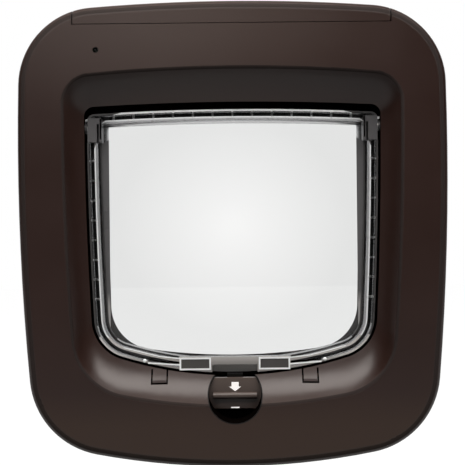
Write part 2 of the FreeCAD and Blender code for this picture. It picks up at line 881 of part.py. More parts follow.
def exterior_frame():
    door = size("door_thick")
    back = door + size("outer_depth")
    edge_shape = frame_outline.inset(size("outer_inset"))
    body = new_body("outer_blank")
    base = outline_sketch(body, "outer_outline", door, edge_shape)
    raised = pad(body, "outer_raised", base, size("outer_depth"), False)
    round_face(body, "outer_edge", raised, back, size("outer_edge_round"))
    mouth = outline_sketch(body, "outer_mouth", back, exit_outline.inset(-size("outer_lead_in")))
    throat = outline_sketch(body, "outer_throat", back - size("outer_lead_in"), exit_outline)
    cut_loft(body, "outer_lead_in_cut", mouth, throat)
    hollow = new_body("outer_hollow")
    inside = outline_sketch(hollow, "hollow_outline", door, edge_shape.inset(wall))
    sunk = pad(hollow, "hollow_raised", inside, size("outer_depth") - wall, False)
    round_face(hollow, "hollow_edge", sunk, back - wall, size("outer_edge_round") - wall)
    inner_face = duct_wall_outline.inset(-size("slide_fit"))
    outer_face = inner_face.inset(-size("sleeve_wall"))
    core = outline_sketch(hollow, "hollow_core", door, outer_face)
    pocket(hollow, "hollow_round_tunnel", core, size("outer_depth"), False)
    sleeve = new_body("outer_sleeve")
    ring = outline_sketch(sleeve, "sleeve_outline", door, outer_face, inner_face)
    pad(sleeve, "sleeve", ring, size("outer_sleeve_long"))
    bore = new_body("outer_bore")
    bore_edge = outline_sketch(bore, "bore_outline", door, inner_face)
    pad(bore, "bore", bore_edge, size("outer_depth") - size("outer_lead_in"), False)
    hole = new_body("outer_hole")
    hole_edge = outline_sketch(hole, "exit_outline", door, exit_outline)
    pad(hole, "exit", hole_edge, size("outer_depth") + past, False)
    solids = [cut("outer_shell", body, [hollow]), sleeve]
    bores = [bore, hole]
    for name, across, high in screw_places():
        solids.append(rod(f"outer_boss_{name}", "y", (across, door, high), size("outer_depth") - wall / 2,
                          size("screw_boss")))
        bores.append(rod(f"outer_boss_bore_{name}", "y", (across, door - past, high),
                         past + size("outer_depth") - wall, size("screw_thread") + size("pin_fit") * 2))
    return finish("exterior_frame", cut("outer_cut", fuse("outer_solids", solids), bores))


def fixing_screws():
    """Four screws from the inner housing through the door into the outer frame."""
    screws = []
    for name, across, high in screw_places():
        seat = -size("screw_boss_tall")
        top = seat - size("screw_head_thick")
        slot_half = size("screw_slot_wide") / 2
        head = rod(f"screw_head_{name}", "y", (across, top, high), size("screw_head_thick"),
                   size("screw_head"))
        neck = rod(f"screw_neck_{name}", "y", (across, seat, high), size("screw_boss_tall"),
                   size("screw_neck"))
        shank = rod(f"screw_shank_{name}", "y", (across, as_size(0), high),
                    size("door_thick") - size("slide_fit"), size("screw_shank"))
        thread = rod(f"screw_thread_{name}", "y", (across, as_size(0), high),
                     size("door_thick") + size("screw_bite"), size("screw_thread"))
        slot = block(f"screw_slot_{name}", (across - size("screw_head"), top - past, high - slot_half),
                     (across + size("screw_head"), top + size("screw_slot_deep"), high + slot_half))
        blank = fuse(f"screw_blank_{name}", [head, neck, shank, thread])
        screws.append(cut(f"screw_{name}", blank, [slot]))
    return finish("fixing_screws", group("screw_group", screws))


# Cells, tray, cover and controls

def battery_tray():
    """The box for two pairs of cells, open upwards, with a finger notch in the front of each bay."""
    skin = size("tray_wall")
    outside = block("tray_outside", (-tray_half, tray_front, tray_floor), (tray_half, tray_back, tray_top))
    near = size("tray_middle") / 2
    far = cell_far + size("contact_room")
    middle = (near + far) / 2
    finger = size("tray_finger_wide") / 2
    tools = []
    for side, sign in SIDES.items():
        low, high = in_order(near * sign, far * sign)
        tools.append(block(f"tray_bay_{side}", (low, tray_front + skin, tray_floor + skin),
                           (high, tray_back - skin, tray_top + past)))
        tools.append(block(f"tray_finger_{side}",
                           (middle * sign - finger, tray_front - past, tray_top - cell_pitch),
                           (middle * sign + finger, tray_front + skin + size("cell_fit"), tray_top + past)))
    bore_foot = tray_top - size("button_long") - size("button_travel")
    tools.append(rod("tray_button_bore", "z", (0, cell_y, bore_foot), size("button_long") * 2,
                     size("button_round") + size("button_fit") * 2))
    return finish("battery_tray", cut("tray_cut", outside, tools))


def battery(name, sign, row):
    """One round cell: can and raised nipple."""
    can_start = cell_near if sign > 0 else -(cell_near + size("cell_long"))
    can = rod(f"{name}_can", "x", (can_start, cell_y, row), size("cell_long"), size("cell_round"))
    tip_start = cell_near + size("cell_long") if sign > 0 else -cell_far
    tip = rod(f"{name}_tip", "x", (tip_start, cell_y, row), size("cell_nipple_long"),
              size("cell_nipple_round"))
    return finish(name, fuse(f"{name}_solid", [can, tip]))


def batteries():
    number = 1
    for sign in SIDES.values():
        for row in cell_rows:
            battery(f"battery_{number}", sign, row)
            number += 1


def battery_contacts():
    """Sheet contacts with a dimple at each end of the cells."""
    plates = []
    half = size("cell_round") / 2 - size("contact_margin")
    dimple = size("contact_room") - size("contact_thick") - size("cell_fit") / 2
    for side, sign in SIDES.items():
        for end in ("near", "far"):
            wall_x = size("tray_middle") / 2 if end == "near" else cell_far + size("contact_room")
            inward = 1 if end == "near" else -1
            first = (wall_x + size("pin_fit") * inward) * sign
            last = (wall_x + (size("contact_thick") + size("pin_fit")) * inward) * sign
            low, high = in_order(first, last)
            tip_low = high if (inward * sign) > 0 else low - dimple
            for level, row in enumerate(cell_rows):
                name = f"contact_{side}_{end}_{level}"
                plate = block(f"{name}_plate", (low, cell_y - half, row - half),
                              (high, cell_y + half, row + half))
                bump = rod(f"{name}_bump", "x", (tip_low, cell_y, row), dimple, size("contact_dimple"))
                plates.append(fuse(name, [plate, bump]))
    return finish("battery_contacts", group("contact_group", plates))


def learn_button():
    """The small setting button between the cells, pressed downwards."""
    seat = tray_top + size("button_travel")
    stem = rod("button_stem", "z", (0, cell_y, seat - size("button_long")), size("button_long"),
               size("button_round"))
    cap = rod("button_top", "z", (0, cell_y, seat), size("button_cap_thick"), size("button_cap"))
    return finish("learn_button", fuse("button_solid", [stem, cap]))


def control_board():
    """The board beside the cells, with one chip, and the plug of the leads."""
    left = board_right - size("board_wide")
    top = board_bottom + size("board_tall")
    board = block("board_blank", (left, board_front, board_bottom), (board_right, board_back, top))
    holes = []
    hole_round = size("board_screw_round") + size("board_hole_fit") * 2
    for name, across, high in board_post_places():
        holes.append(rod(f"board_hole_{name}", "y", (across, board_front - past, high),
                         size("board_thick") + past * 2, hole_round))
    drilled = cut("board_drilled", board, holes)
    middle_x = (left + board_right) / 2
    middle_z = board_bottom + size("chip_rise")
    chip_half = size("chip_wide") / 2
    chip = block("board_chip",
                 (middle_x - chip_half, board_front - size("chip_thick"), middle_z - chip_half),
                 (middle_x + chip_half, board_front, middle_z + chip_half))
    plug_right = board_right - size("slide_fit")
    plug = block("board_plug", (plug_right - size("plug_wide"), board_front - size("plug_thick"),
                                board_bottom + size("slide_fit")),
                 (plug_right, board_front, board_bottom + size("slide_fit") + size("plug_tall")))
    return finish("control_board", fuse("board_solid", [drilled, chip, plug]))


def board_screws():
    screws = []
    head_thick = size("board_screw_head_thick")
    for name, across, high in board_post_places():
        head = rod(f"board_screw_head_{name}", "y", (across, board_front - head_thick, high), head_thick,
                   size("board_screw_head"))
        shank = rod(f"board_screw_shank_{name}", "y", (across, board_front - head_thick / 2, high),
                    head_thick / 2 + size("board_screw_long"), size("board_screw_round"))
        screws.append(fuse(f"board_screw_{name}", [head, shank]))
    return finish("board_screws", group("board_screw_group", screws))


def status_light():
    """The clear light pipe from the board to the front of the frame."""
    start = frame_front + size("light_sunk")
    pipe = rod("light_pipe", "y", (light_x, start, light_z), board_front - size("slide_fit") - start,
               size("light_round"))
    return finish("status_light", pipe)


def antenna_coil():
    """The wound aerial that lies round the tunnel."""
    body = new_body("coil_body")
    ring = outline_sketch(body, "coil_outline", size("coil_front") + size("coil_deep"), coil_outer_outline,
                          coil_inner_outline)
    pad(body, "coil", ring, size("coil_deep"))
    return finish("antenna_coil", body)


# Flap: a clear moulding with a laddered rim, a brush strip in the rim and two magnets in its foot

rim_inside = size("rim_wall") + size("rim_cell") + size("rim_rib")
clip_outer = flap_outline.half - size("slide_fit")
clip_inner = clip_outer - size("clip_wide")
clip_half = size("clip_tall") / 2
clip_z = port_outline.top - size("clip_drop")
magnet_z = port_outline.bottom + size("flap_magnet_rise")


def flap_blank():
    """The pane with its outer wall, channel and inner rib, all round."""
    body = new_body("flap_blank")
    edge = outline_sketch(body, "flap_outline", flap_back, flap_outline)
    pad(body, "flap_raised", edge, size("flap_thick"))
    window = outline_sketch(body, "pane_outline", pane_front, flap_outline.inset(rim_inside))
    pocket(body, "pane_sunk", window, size("flap_thick"), True)
    cell_edge = flap_outline.inset(size("rim_wall"))
    channel = outline_sketch(body, "channel_outline", pane_front, cell_edge,
                             cell_edge.inset(size("rim_cell")))
    pocket(body, "channel_sunk", channel, size("flap_thick"), True)
    step_edge = flap_outline.inset(rim_inside + size("step_groove"))
    step = outline_sketch(body, "step_outline", pane_front, step_edge, step_edge.inset(size("step_rib")))
    pad(body, "step_rib_raised", step, size("step_tall"))
    return body


def rim_rungs():
    """Cross ribs that bridge the channel like a ladder, along the top and down both sides."""
    half = size("rung_thick") / 2
    reach_in = flap_outline.half - rim_inside
    bars = []
    for index in range(count("rung_top_count")):
        middle = size("rung_pitch") * (index - (count("rung_top_count") - 1) / 2)
        bars.append(block(f"rung_top_{index}",
                          (middle - half, flap_front, flap_outline.top - rim_inside * 2),
                          (middle + half, flap_front + size("rung_deep"), flap_outline.top + past)))
    for side, sign in SIDES.items():
        near = reach_in - past * 2
        far = flap_outline.half + past
        low, high = (near, far) if sign > 0 else (-far, -near)
        for index in range(count("rung_side_count")):
            middle = port_outline.top - size("rung_side_drop") - size("rung_pitch") * index
            bars.append(block(f"rung_{side}_{index}", (low, flap_front, middle - half),
                              (high, flap_front + size("rung_deep"), middle + half)))
    ring = new_body("rung_ring")
    edge = flap_outline.inset(size("rim_wall") / 2)
    band = outline_sketch(ring, "rung_band", flap_front + size("rung_deep"), edge,
                          edge.inset(size("rim_wall") / 2 + size("rim_cell") + size("rim_rib") / 2))
    pad(ring, "rung_band_raised", band, size("rung_deep"))
    return common("rungs", fuse("rung_bars", bars), ring)


def corner_space(name, side, sign, fit):
    """The room that a hinge clip takes in the flap's upper corner."""
    near = clip_inner - fit
    far = flap_outline.half + past
    low, high = (near, far) if sign > 0 else (-far, -near)
    return block(f"{name}_{side}", (low, flap_front - past, clip_z - clip_half - fit),
                 (high, flap_back + past, clip_z + clip_half + fit))


def magnet_box(name, side, sign, grow, front, back):
    middle = size("flap_magnet_x") * sign
    half_wide = size("flap_magnet_wide") / 2 + grow
    half_tall = size("flap_magnet_tall") / 2 + grow
    return block(f"{name}_{side}", (middle - half_wide, front, magnet_z - half_tall),
                 (middle + half_wide, back, magnet_z + half_tall))


def flap_foot():
    """The block that closes the flap's lower edge, kept inside the flap's outline."""
    foot = new_body("flap_foot_body")
    edge = outline_sketch(foot, "foot_outline", flap_back, flap_outline)
    pad(foot, "foot_raised", edge, size("flap_thick"))
    half = size("flap_magnet_x") + size("flap_magnet_wide") / 2 + size("magnet_wall")
    top = magnet_z + size("flap_magnet_tall") / 2 + size("magnet_wall")
    bar = block("foot_bar", (-half, flap_front, flap_outline.bottom - past), (half, flap_back, top))
    return common("flap_foot", bar, foot)


def flap_panel():
    tools = []
    magnet_back = flap_front + size("flap_magnet_thick")
    for side, sign in SIDES.items():
        tools.append(corner_space("clip_space", side, sign, size("pin_fit") * 2))
        tools.append(magnet_box("magnet_pocket", side, sign, size("pin_fit"), flap_front - past, magnet_back))
    notch_top = flap_outline.bottom + size("catch_tall")
    tools.append(block("catch_notch",
                       (-size("catch_half"), flap_front - past, flap_outline.bottom - past),
                       (size("catch_half"), flap_back - size("catch_wall"), notch_top)))
    solid = fuse("flap_solids", [flap_blank(), rim_rungs(), flap_foot()])
    return finish("flap_panel", cut("flap_cut", solid, tools))


def draught_brush():
    """The black pile strip that lies in the rim's channel behind the rungs, down to the foot."""
    body = new_body("brush_ring")
    outer = flap_outline.inset(size("rim_wall") + size("brush_fit"))
    inner = flap_outline.inset(size("rim_wall") + size("rim_cell") - size("brush_fit"))
    brush_back = pane_front - size("brush_fit")
    brush_front = flap_front + size("rung_deep") + size("brush_fit")
    ring = outline_sketch(body, "brush_outline", brush_back, outer, inner)
    pad(body, "brush", ring, brush_back - brush_front)
    tools = [block("brush_end", (-frame_outline.half, flap_front - past, frame_outline.bottom),
                   (frame_outline.half, flap_back, port_outline.bottom + size("ladder_end_rise")))]
    for side, sign in SIDES.items():
        tools.append(corner_space("brush_corner", side, sign, size("slide_fit")))
    return finish("draught_brush", cut("brush_cut", body, tools))


def flap_magnets():
    for side, sign in SIDES.items():
        magnet_back = flap_front + size("flap_magnet_thick") - size("pin_fit")
        finish(f"flap_magnet_{side}", magnet_box("flap_magnet", side, sign, as_size(0),
                                                 flap_front + size("pin_fit"), magnet_back))


def hinge_parts():
    """On each side a clip in the flap's corner, a pin that it grips, and a bush in the bracket."""
    pin_inner = clip_inner + size("clip_solid")
    bush_inner = flap_outline.half + size("bush_gap")
    for side, sign in SIDES.items():
        low, high = in_order(clip_inner * sign, clip_outer * sign)
        clip = block(f"clip_block_{side}", (low, flap_front - size("clip_proud"), clip_z - clip_half),
                     (high, flap_back, clip_z + clip_half))
        slit_middle = (clip_inner + size("clip_slit_in")) * sign
        slit = block(f"clip_slit_{side}",
                     (slit_middle - size("clip_slit") / 2, flap_front - past, clip_z - clip_half - past),
                     (slit_middle + size("clip_slit") / 2, flap_back - past, clip_z + clip_half / 2))
        bore = hinge_hole(side, sign, "clip_bore", size("pin_round") + size("pin_fit") * 2, pin_inner,
                          clip_outer + past)
        finish(f"hinge_clip_{side}", cut(f"clip_cut_{side}", clip, [slit, bore]))
        finish(f"hinge_pin_{side}", hinge_hole(side, sign, "pin", size("pin_round"),
                                               pin_inner + size("pin_end_gap"), bracket_outer))
        blank = hinge_hole(side, sign, "bush_blank", size("bush_round"), bush_inner, bracket_outer)
        hole = hinge_hole(side, sign, "bush_hole", size("pin_round") + size("pin_fit") * 2,
                          bush_inner - past, bracket_outer + past)
        finish(f"hinge_bush_{side}", cut(f"bush_cut_{side}", blank, [hole]))


# Lock slide, latch and sill magnets under the port

def lock_slider():
    """The plate behind the round window, with a finger ridge."""
    half = size("slide_half")
    shoulder = slide_top - size("slide_shoulder")
    plate = block("slide_plate", (-half, slide_front, slide_bottom), (half, slide_back, shoulder))
    neck = block("slide_neck", (-half, slide_front, shoulder - wall / 4), (half, slide_back, slide_top))
    disc = window_cylinder("slide_disc", size("window_round") - size("seam_fit") * 2,
                           slide_front - past, port_back)
    head = common("slide_head", neck, disc)
    across = size("slide_ridge_half")
    ridge_half = size("slide_ridge_tall") / 2
    ridge_z = slide_top - size("slide_ridge_drop")
    nose_y = slide_front - size("slide_ridge_out") + ridge_half
    nose = rod("slide_ridge_nose", "x", (-across, nose_y, ridge_z), across * 2, size("slide_ridge_tall"))
    ridge = block("slide_ridge", (-across, nose_y, ridge_z - ridge_half),
                  (across, slide_front + wall / 4, ridge_z + ridge_half))
    return finish("lock_slider", fuse("slide_solid", [plate, head, ridge, nose]))


strip_front = slide_back + size("slide_fit")
strip_back = strip_front + size("latch_strip")
plunger_y = strip_back + size("plunger_back")
latch_top = port_outline.bottom + size("latch_rise")
latch_foot_top = latch_top - size("latch_tall")
latch_foot_low = latch_foot_top - size("latch_strip")
solenoid_top = latch_foot_low - size("latch_travel") - size("slide_fit")


def latch_tongue():
    """The bent strip that rises into the notch in the flap's foot, with its plunger."""
    half = size("latch_half")
    strip = block("latch_strip_up", (-half, strip_front, latch_foot_top), (half, strip_back, latch_top))
    foot = block("latch_foot", (-half, strip_front, latch_foot_low),
                 (half, plunger_y + size("plunger_round") / 2, latch_foot_top))
    plunger = rod("latch_plunger", "z", (0, plunger_y, latch_foot_low - size("plunger_long")),
                  size("plunger_long") + size("latch_strip") / 2, size("plunger_round"))
    return finish("latch_tongue", fuse("latch_solid", [strip, foot, plunger]))


def latch_solenoid():
    """The square case with a blind bore that the plunger runs in, upright on the housing plate."""
    half = size("solenoid_wide") / 2
    bore_low = latch_foot_low - size("plunger_long") - size("slide_fit")
    case = block("solenoid_case",
                 (-half, plunger_y - size("plunger_round") / 2 - size("solenoid_wall"),
                  bore_low - size("solenoid_floor")),
                 (half, -wall - size("slide_fit"), solenoid_top))
    bore = rod("solenoid_bore", "z", (0, plunger_y, bore_low), solenoid_top + past - bore_low,
               size("plunger_round") + size("slide_fit") * 2)
    return finish("latch_solenoid", cut("solenoid_cut", case, [bore]))


def sill_magnets():
    """Two magnets under the port that draw the flap to its middle."""
    middle_y = (flap_front + flap_back) / 2
    half_thick = size("sill_magnet_thick") / 2
    half_wide = size("sill_magnet_wide") / 2
    top = port_outline.bottom - wall - size("slide_fit")
    for side, sign in SIDES.items():
        middle = size("sill_magnet_x") * sign
        finish(f"sill_magnet_{side}",
               block(f"sill_magnet_{side}_block",
                     (middle - half_wide, middle_y - half_thick, top - size("sill_magnet_tall")),
                     (middle + half_wide, middle_y + half_thick, top)))


def make_all():
    interior_frame()
    battery_cover()
    inner_housing()
    exterior_frame()
    fixing_screws()
    battery_tray()
    batteries()
    battery_contacts()
    learn_button()
    control_board()
    board_screws()
    status_light()
    antenna_coil()
    flap_panel()
    draught_brush()
    flap_magnets()
    hinge_parts()
    lock_slider()
    latch_tongue()
    latch_solenoid()
    sill_magnets()


def check_document():
    """Stop if any object failed or any finished sub-part is empty or broken."""
    for item in doc.Objects:
        if "Invalid" in item.State or "Error" in item.State:
            raise RuntimeError(f"{item.Name} failed: {item.State}")
    for name, item in finished.items():
        if item.Label != name:
            raise RuntimeError(f"{name} has another label: {item.Label}")
        if item.Shape.isNull() or not item.Shape.isValid() or not item.Shape.Solids:
            raise RuntimeError(f"{name} has no sound shape")


def write_all():
    os.makedirs("parts", exist_ok=True)
    for name, item in finished.items():
        item.Shape.exportStep(os.path.join("parts", f"{name}.step"))


make_all()
doc.recompute()
check_document()
write_all()
for name, item in finished.items():
    box = item.Shape.BoundBox
    print(f"{name}: {len(item.Shape.Solids)} solids, volume {item.Shape.Volume:.0f},"
          f" x {box.XMin:.1f} to {box.XMax:.1f}, y {box.YMin:.1f} to {box.YMax:.1f},"
          f" z {box.ZMin:.1f} to {box.ZMax:.1f}")
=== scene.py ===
import math
import random

import bmesh
import bpy
from mathutils import Matrix, Vector
from mathutils.bvhtree import BVHTree


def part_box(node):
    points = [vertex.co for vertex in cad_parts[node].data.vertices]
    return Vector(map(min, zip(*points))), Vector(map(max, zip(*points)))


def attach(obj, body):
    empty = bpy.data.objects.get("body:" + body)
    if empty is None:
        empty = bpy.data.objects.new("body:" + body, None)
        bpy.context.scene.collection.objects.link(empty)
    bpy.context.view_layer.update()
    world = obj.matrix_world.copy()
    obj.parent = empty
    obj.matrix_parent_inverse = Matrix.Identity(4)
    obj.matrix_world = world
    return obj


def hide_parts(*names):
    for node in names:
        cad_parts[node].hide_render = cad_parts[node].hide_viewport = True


# Cat flap, seen from the room. Lengths are metres, and one given in millimetres is multiplied by
# MM. X runs to the right, Z up, and the room side faces -Y.

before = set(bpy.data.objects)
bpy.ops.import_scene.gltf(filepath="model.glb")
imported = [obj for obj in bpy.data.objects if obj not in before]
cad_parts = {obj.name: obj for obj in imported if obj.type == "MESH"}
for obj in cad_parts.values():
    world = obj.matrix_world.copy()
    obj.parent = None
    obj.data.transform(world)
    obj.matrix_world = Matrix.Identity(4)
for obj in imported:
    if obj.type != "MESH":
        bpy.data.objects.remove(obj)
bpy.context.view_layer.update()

MM = 0.001


# Camera, as the photograph was taken

PHOTO_SIZE = 465
FOCAL_PIXELS = 885.0
AXIS_PIXEL = (233.52, 232.82)
SENSOR_WIDE = 36.0
CAMERA_BACK = 0.469
CAMERA_ROLL = math.radians(-0.593)
NEAR_CLIP = 0.01


def make_camera():
    """A straight look at the room side, with the small roll and shift of the photograph."""
    data = bpy.data.cameras.new("camera")
    data.sensor_width = SENSOR_WIDE
    data.lens = FOCAL_PIXELS / PHOTO_SIZE * SENSOR_WIDE
    data.shift_x = -(AXIS_PIXEL[0] / PHOTO_SIZE - 0.5)
    data.shift_y = AXIS_PIXEL[1] / PHOTO_SIZE - 0.5
    data.clip_start = NEAR_CLIP
    camera = bpy.data.objects.new("camera", data)
    bpy.context.scene.collection.objects.link(camera)
    back = Matrix.Translation((0, -CAMERA_BACK, 0))
    upright = Matrix.Rotation(math.pi / 2, 4, "X")
    roll = Matrix.Rotation(CAMERA_ROLL, 4, "Z")
    camera.matrix_world = back @ upright @ roll
    bpy.context.scene.camera = camera


# Short ways to wire nodes

def set_inputs(node, values):
    """Set a node's inputs by name, where an underscore stands for a space."""
    for label, value in values.items():
        node.inputs[label.replace("_", " ")].default_value = value


def feed(tree, source, socket):
    """Link an output to an input, or set the input to a number or to a tone of red, green and blue."""
    if isinstance(source, bpy.types.NodeSocket):
        tree.links.new(source, socket)
    elif isinstance(source, tuple):
        socket.default_value = (*source, 1)
    else:
        socket.default_value = source


def map_range(tree, value, span=(0.0, 1.0), onto=(0.0, 1.0)):
    """Stretch one span of a number onto another, and hold it at the ends outside the span."""
    node = tree.nodes.new("ShaderNodeMapRange")
    tree.links.new(value, node.inputs["Value"])
    for label, number in zip(("From Min", "From Max", "To Min", "To Max"), (*span, *onto)):
        node.inputs[label].default_value = number
    return node.outputs["Result"]


def reckon(tree, operation, first, second):
    """One step of arithmetic on two numbers."""
    node = tree.nodes.new("ShaderNodeMath")
    node.operation = operation
    feed(tree, first, node.inputs[0])
    feed(tree, second, node.inputs[1])
    return node.outputs["Value"]


def mix_tones(tree, factor, first, second):
    """A colour that goes from the first to the second as the factor goes from 0 to 1."""
    node = tree.nodes.new("ShaderNodeMix")
    node.data_type = "RGBA"
    feed(tree, factor, node.inputs["Factor"])
    feed(tree, first, node.inputs["A"])
    feed(tree, second, node.inputs["B"])
    return node.outputs["Result"]


def split_place(tree, kind="Object"):
    """The X, Y and Z of a point on an object, or of a direction where the kind is Generated."""
    place = tree.nodes.new("ShaderNodeTexCoord")
    parts = tree.nodes.new("ShaderNodeSeparateXYZ")
    tree.links.new(place.outputs[kind], parts.inputs["Vector"])
    return parts.outputs


# Light, backdrop and floor

def add_softbox(name, place, aim, wide, tall, power, tint=(1, 1, 1)):
    """A soft rectangular lamp that points at a place."""
    data = bpy.data.lights.new(name, "AREA")
    data.shape = "RECTANGLE"
    data.size = wide
    data.size_y = tall
    data.energy = power
    data.color = tint
    lamp = bpy.data.objects.new(name, data)
    bpy.context.scene.collection.objects.link(lamp)
    lamp.location = place
    lamp.rotation_euler = (Vector(aim) - Vector(place)).to_track_quat("-Z", "Y").to_euler()


def make_lights():
    """A wide warm lamp high above, a weak one in front, and a dim card for the gloss to mirror."""
    add_softbox("overhead_softbox", place=(0.04, -0.45, 0.80), aim=(0, -0.03, -0.05),
                wide=1.62, tall=0.58, power=20.5, tint=(1.0, 0.94, 0.90))
    add_softbox("front_softbox", place=(-0.32, -1.4, 0.56), aim=(0, 0, 0), wide=0.6, tall=0.3, power=0.9)
    add_softbox("room_card", place=(0, -1.6, 0.09), aim=(0, 0, 0.02), wide=0.64, tall=0.46, power=0.04)


WORLD_DIM = (0.02, 0.02, 0.02)
WORLD_WHITE = (1.0, 1.0, 1.0)
WORLD_SPAN = (0.45, 0.85)


def make_world():
    """White behind the object and to the camera, and a dim room in front of it."""
    world = bpy.data.worlds.new("studio")
    world.use_nodes = True
    bpy.context.scene.world = world
    tree = world.node_tree
    tree.nodes.clear()
    output = tree.nodes.new("ShaderNodeOutputWorld")
    background = tree.nodes.new("ShaderNodeBackground")
    ray = tree.nodes.new("ShaderNodeLightPath")
    behind = map_range(tree, split_place(tree, "Generated")["Y"], WORLD_SPAN)
    room = mix_tones(tree, behind, WORLD_DIM, WORLD_WHITE)
    seen = mix_tones(tree, ray.outputs["Is Camera Ray"], room, WORLD_WHITE)
    tree.links.new(seen, background.inputs["Color"])
    tree.links.new(background.outputs["Background"], output.inputs["Surface"])


FLOOR_LEVEL = -0.21
FLOOR_HALF = 3.0
FLOOR_TONE = (0.15, 0.15, 0.15)
FLOOR_SEEN = 0.97
FLOOR_MIRRORED = 0.40
FLOOR_FADE = (-2.6, -0.5)


def floor_finish():
    """Grey to the lamps, pale to the camera and to gloss in front of it, and white through clear parts."""
    material = bpy.data.materials.new("pale_floor")
    material.use_nodes = True
    tree = material.node_tree
    tree.nodes.clear()
    output = tree.nodes.new("ShaderNodeOutputMaterial")
    matt = tree.nodes.new("ShaderNodeBsdfDiffuse")
    glow = tree.nodes.new("ShaderNodeEmission")
    white = tree.nodes.new("ShaderNodeEmission")
    both = tree.nodes.new("ShaderNodeAddShader")
    either = tree.nodes.new("ShaderNodeMixShader")
    ray = tree.nodes.new("ShaderNodeLightPath")
    faded = map_range(tree, split_place(tree)["Y"], FLOOR_FADE, (0.0, FLOOR_MIRRORED))
    mirrored = reckon(tree, "MULTIPLY", ray.outputs["Is Glossy Ray"], faded)
    seen = reckon(tree, "MULTIPLY", ray.outputs["Is Camera Ray"], FLOOR_SEEN)
    feed(tree, FLOOR_TONE, matt.inputs["Color"])
    feed(tree, reckon(tree, "MAXIMUM", seen, mirrored), glow.inputs["Strength"])
    feed(tree, matt.outputs["BSDF"], both.inputs[0])
    feed(tree, glow.outputs["Emission"], both.inputs[1])
    feed(tree, ray.outputs["Is Transmission Ray"], either.inputs["Fac"])
    feed(tree, both.outputs["Shader"], either.inputs[1])
    feed(tree, white.outputs["Emission"], either.inputs[2])
    feed(tree, either.outputs["Shader"], output.inputs["Surface"])
    return material


def make_floor():
    """A plain pale floor under the object, which keeps its shadow."""
    mesh = bpy.data.meshes.new("floor")
    shape = bmesh.new()
    bmesh.ops.create_grid(shape, x_segments=1, y_segments=1, size=FLOOR_HALF)
    shape.to_mesh(mesh)
    shape.free()
    mesh.materials.append(floor_finish())
    floor = bpy.data.objects.new("floor", mesh)
    floor.location = (0, 0, FLOOR_LEVEL)
    bpy.context.scene.collection.objects.link(floor)


# Effects that several finishes share

def new_group(name, inputs, outputs):
    """A shader node group with number inputs, given as name and default, and named outputs."""
    tree = bpy.data.node_groups.new(name, "ShaderNodeTree")
    for label, value in inputs.items():
        socket = tree.interface.new_socket(label, in_out="INPUT", socket_type="NodeSocketFloat")
        socket.default_value = value
    for label in outputs:
        tree.interface.new_socket(label, in_out="OUTPUT", socket_type="NodeSocketFloat")
    entry = tree.nodes.new("NodeGroupInput")
    leave = tree.nodes.new("NodeGroupOutput")
    place = tree.nodes.new("ShaderNodeTexCoord").outputs["Object"]
    return tree, entry.outputs, leave.inputs, place


def noise(tree, place, scale, detail, roughness):
    """A noise pattern, whose scale is a number or an output."""
    node = tree.nodes.new("ShaderNodeTexNoise")
    tree.links.new(place, node.inputs["Vector"])
    feed(tree, scale, node.inputs["Scale"])
    node.inputs["Detail"].default_value = detail
    node.inputs["Roughness"].default_value = roughness
    return node.outputs["Fac"]


CLOUD_SPAN = (0.3, 0.7)
HAIRLINE_SPAN = (0.55, 0.7)


def make_moulded_grain():
    """Spark-eroded mould texture: a fine grain as height, and a slow cloud for tone and gloss."""
    scales = {"Grain Scale": 2600.0, "Cloud Scale": 22.0}
    tree, entry, leave, place = new_group("moulded_grain", scales, ("Height", "Cloud"))
    grain = noise(tree, place, entry["Grain Scale"], detail=3.0, roughness=0.6)
    cloud = noise(tree, place, entry["Cloud Scale"], detail=4.0, roughness=0.55)
    tree.links.new(grain, leave["Height"])
    tree.links.new(map_range(tree, cloud, CLOUD_SPAN), leave["Cloud"])
    return tree


def make_hairlines():
    """Long fine scratches along X, as brushing or handling leaves."""
    scales = {"Length Scale": 40.0, "Across Scale": 2400.0}
    tree, entry, leave, place = new_group("hairlines", scales, ("Height", "Mask"))
    stretch = tree.nodes.new("ShaderNodeCombineXYZ")
    tree.links.new(entry["Length Scale"], stretch.inputs["X"])
    tree.links.new(entry["Across Scale"], stretch.inputs["Y"])
    tree.links.new(entry["Across Scale"], stretch.inputs["Z"])
    mapping = tree.nodes.new("ShaderNodeMapping")
    tree.links.new(place, mapping.inputs["Vector"])
    tree.links.new(stretch.outputs["Vector"], mapping.inputs["Scale"])
    lines = noise(tree, mapping.outputs["Vector"], scale=1.0, detail=4.0, roughness=0.65)
    tree.links.new(lines, leave["Height"])
    tree.links.new(map_range(tree, lines, HAIRLINE_SPAN), leave["Mask"])
    return tree


moulded_grain = make_moulded_grain()
hairlines = make_hairlines()


# Ways to build a finish

FLATTENED = 1000.0


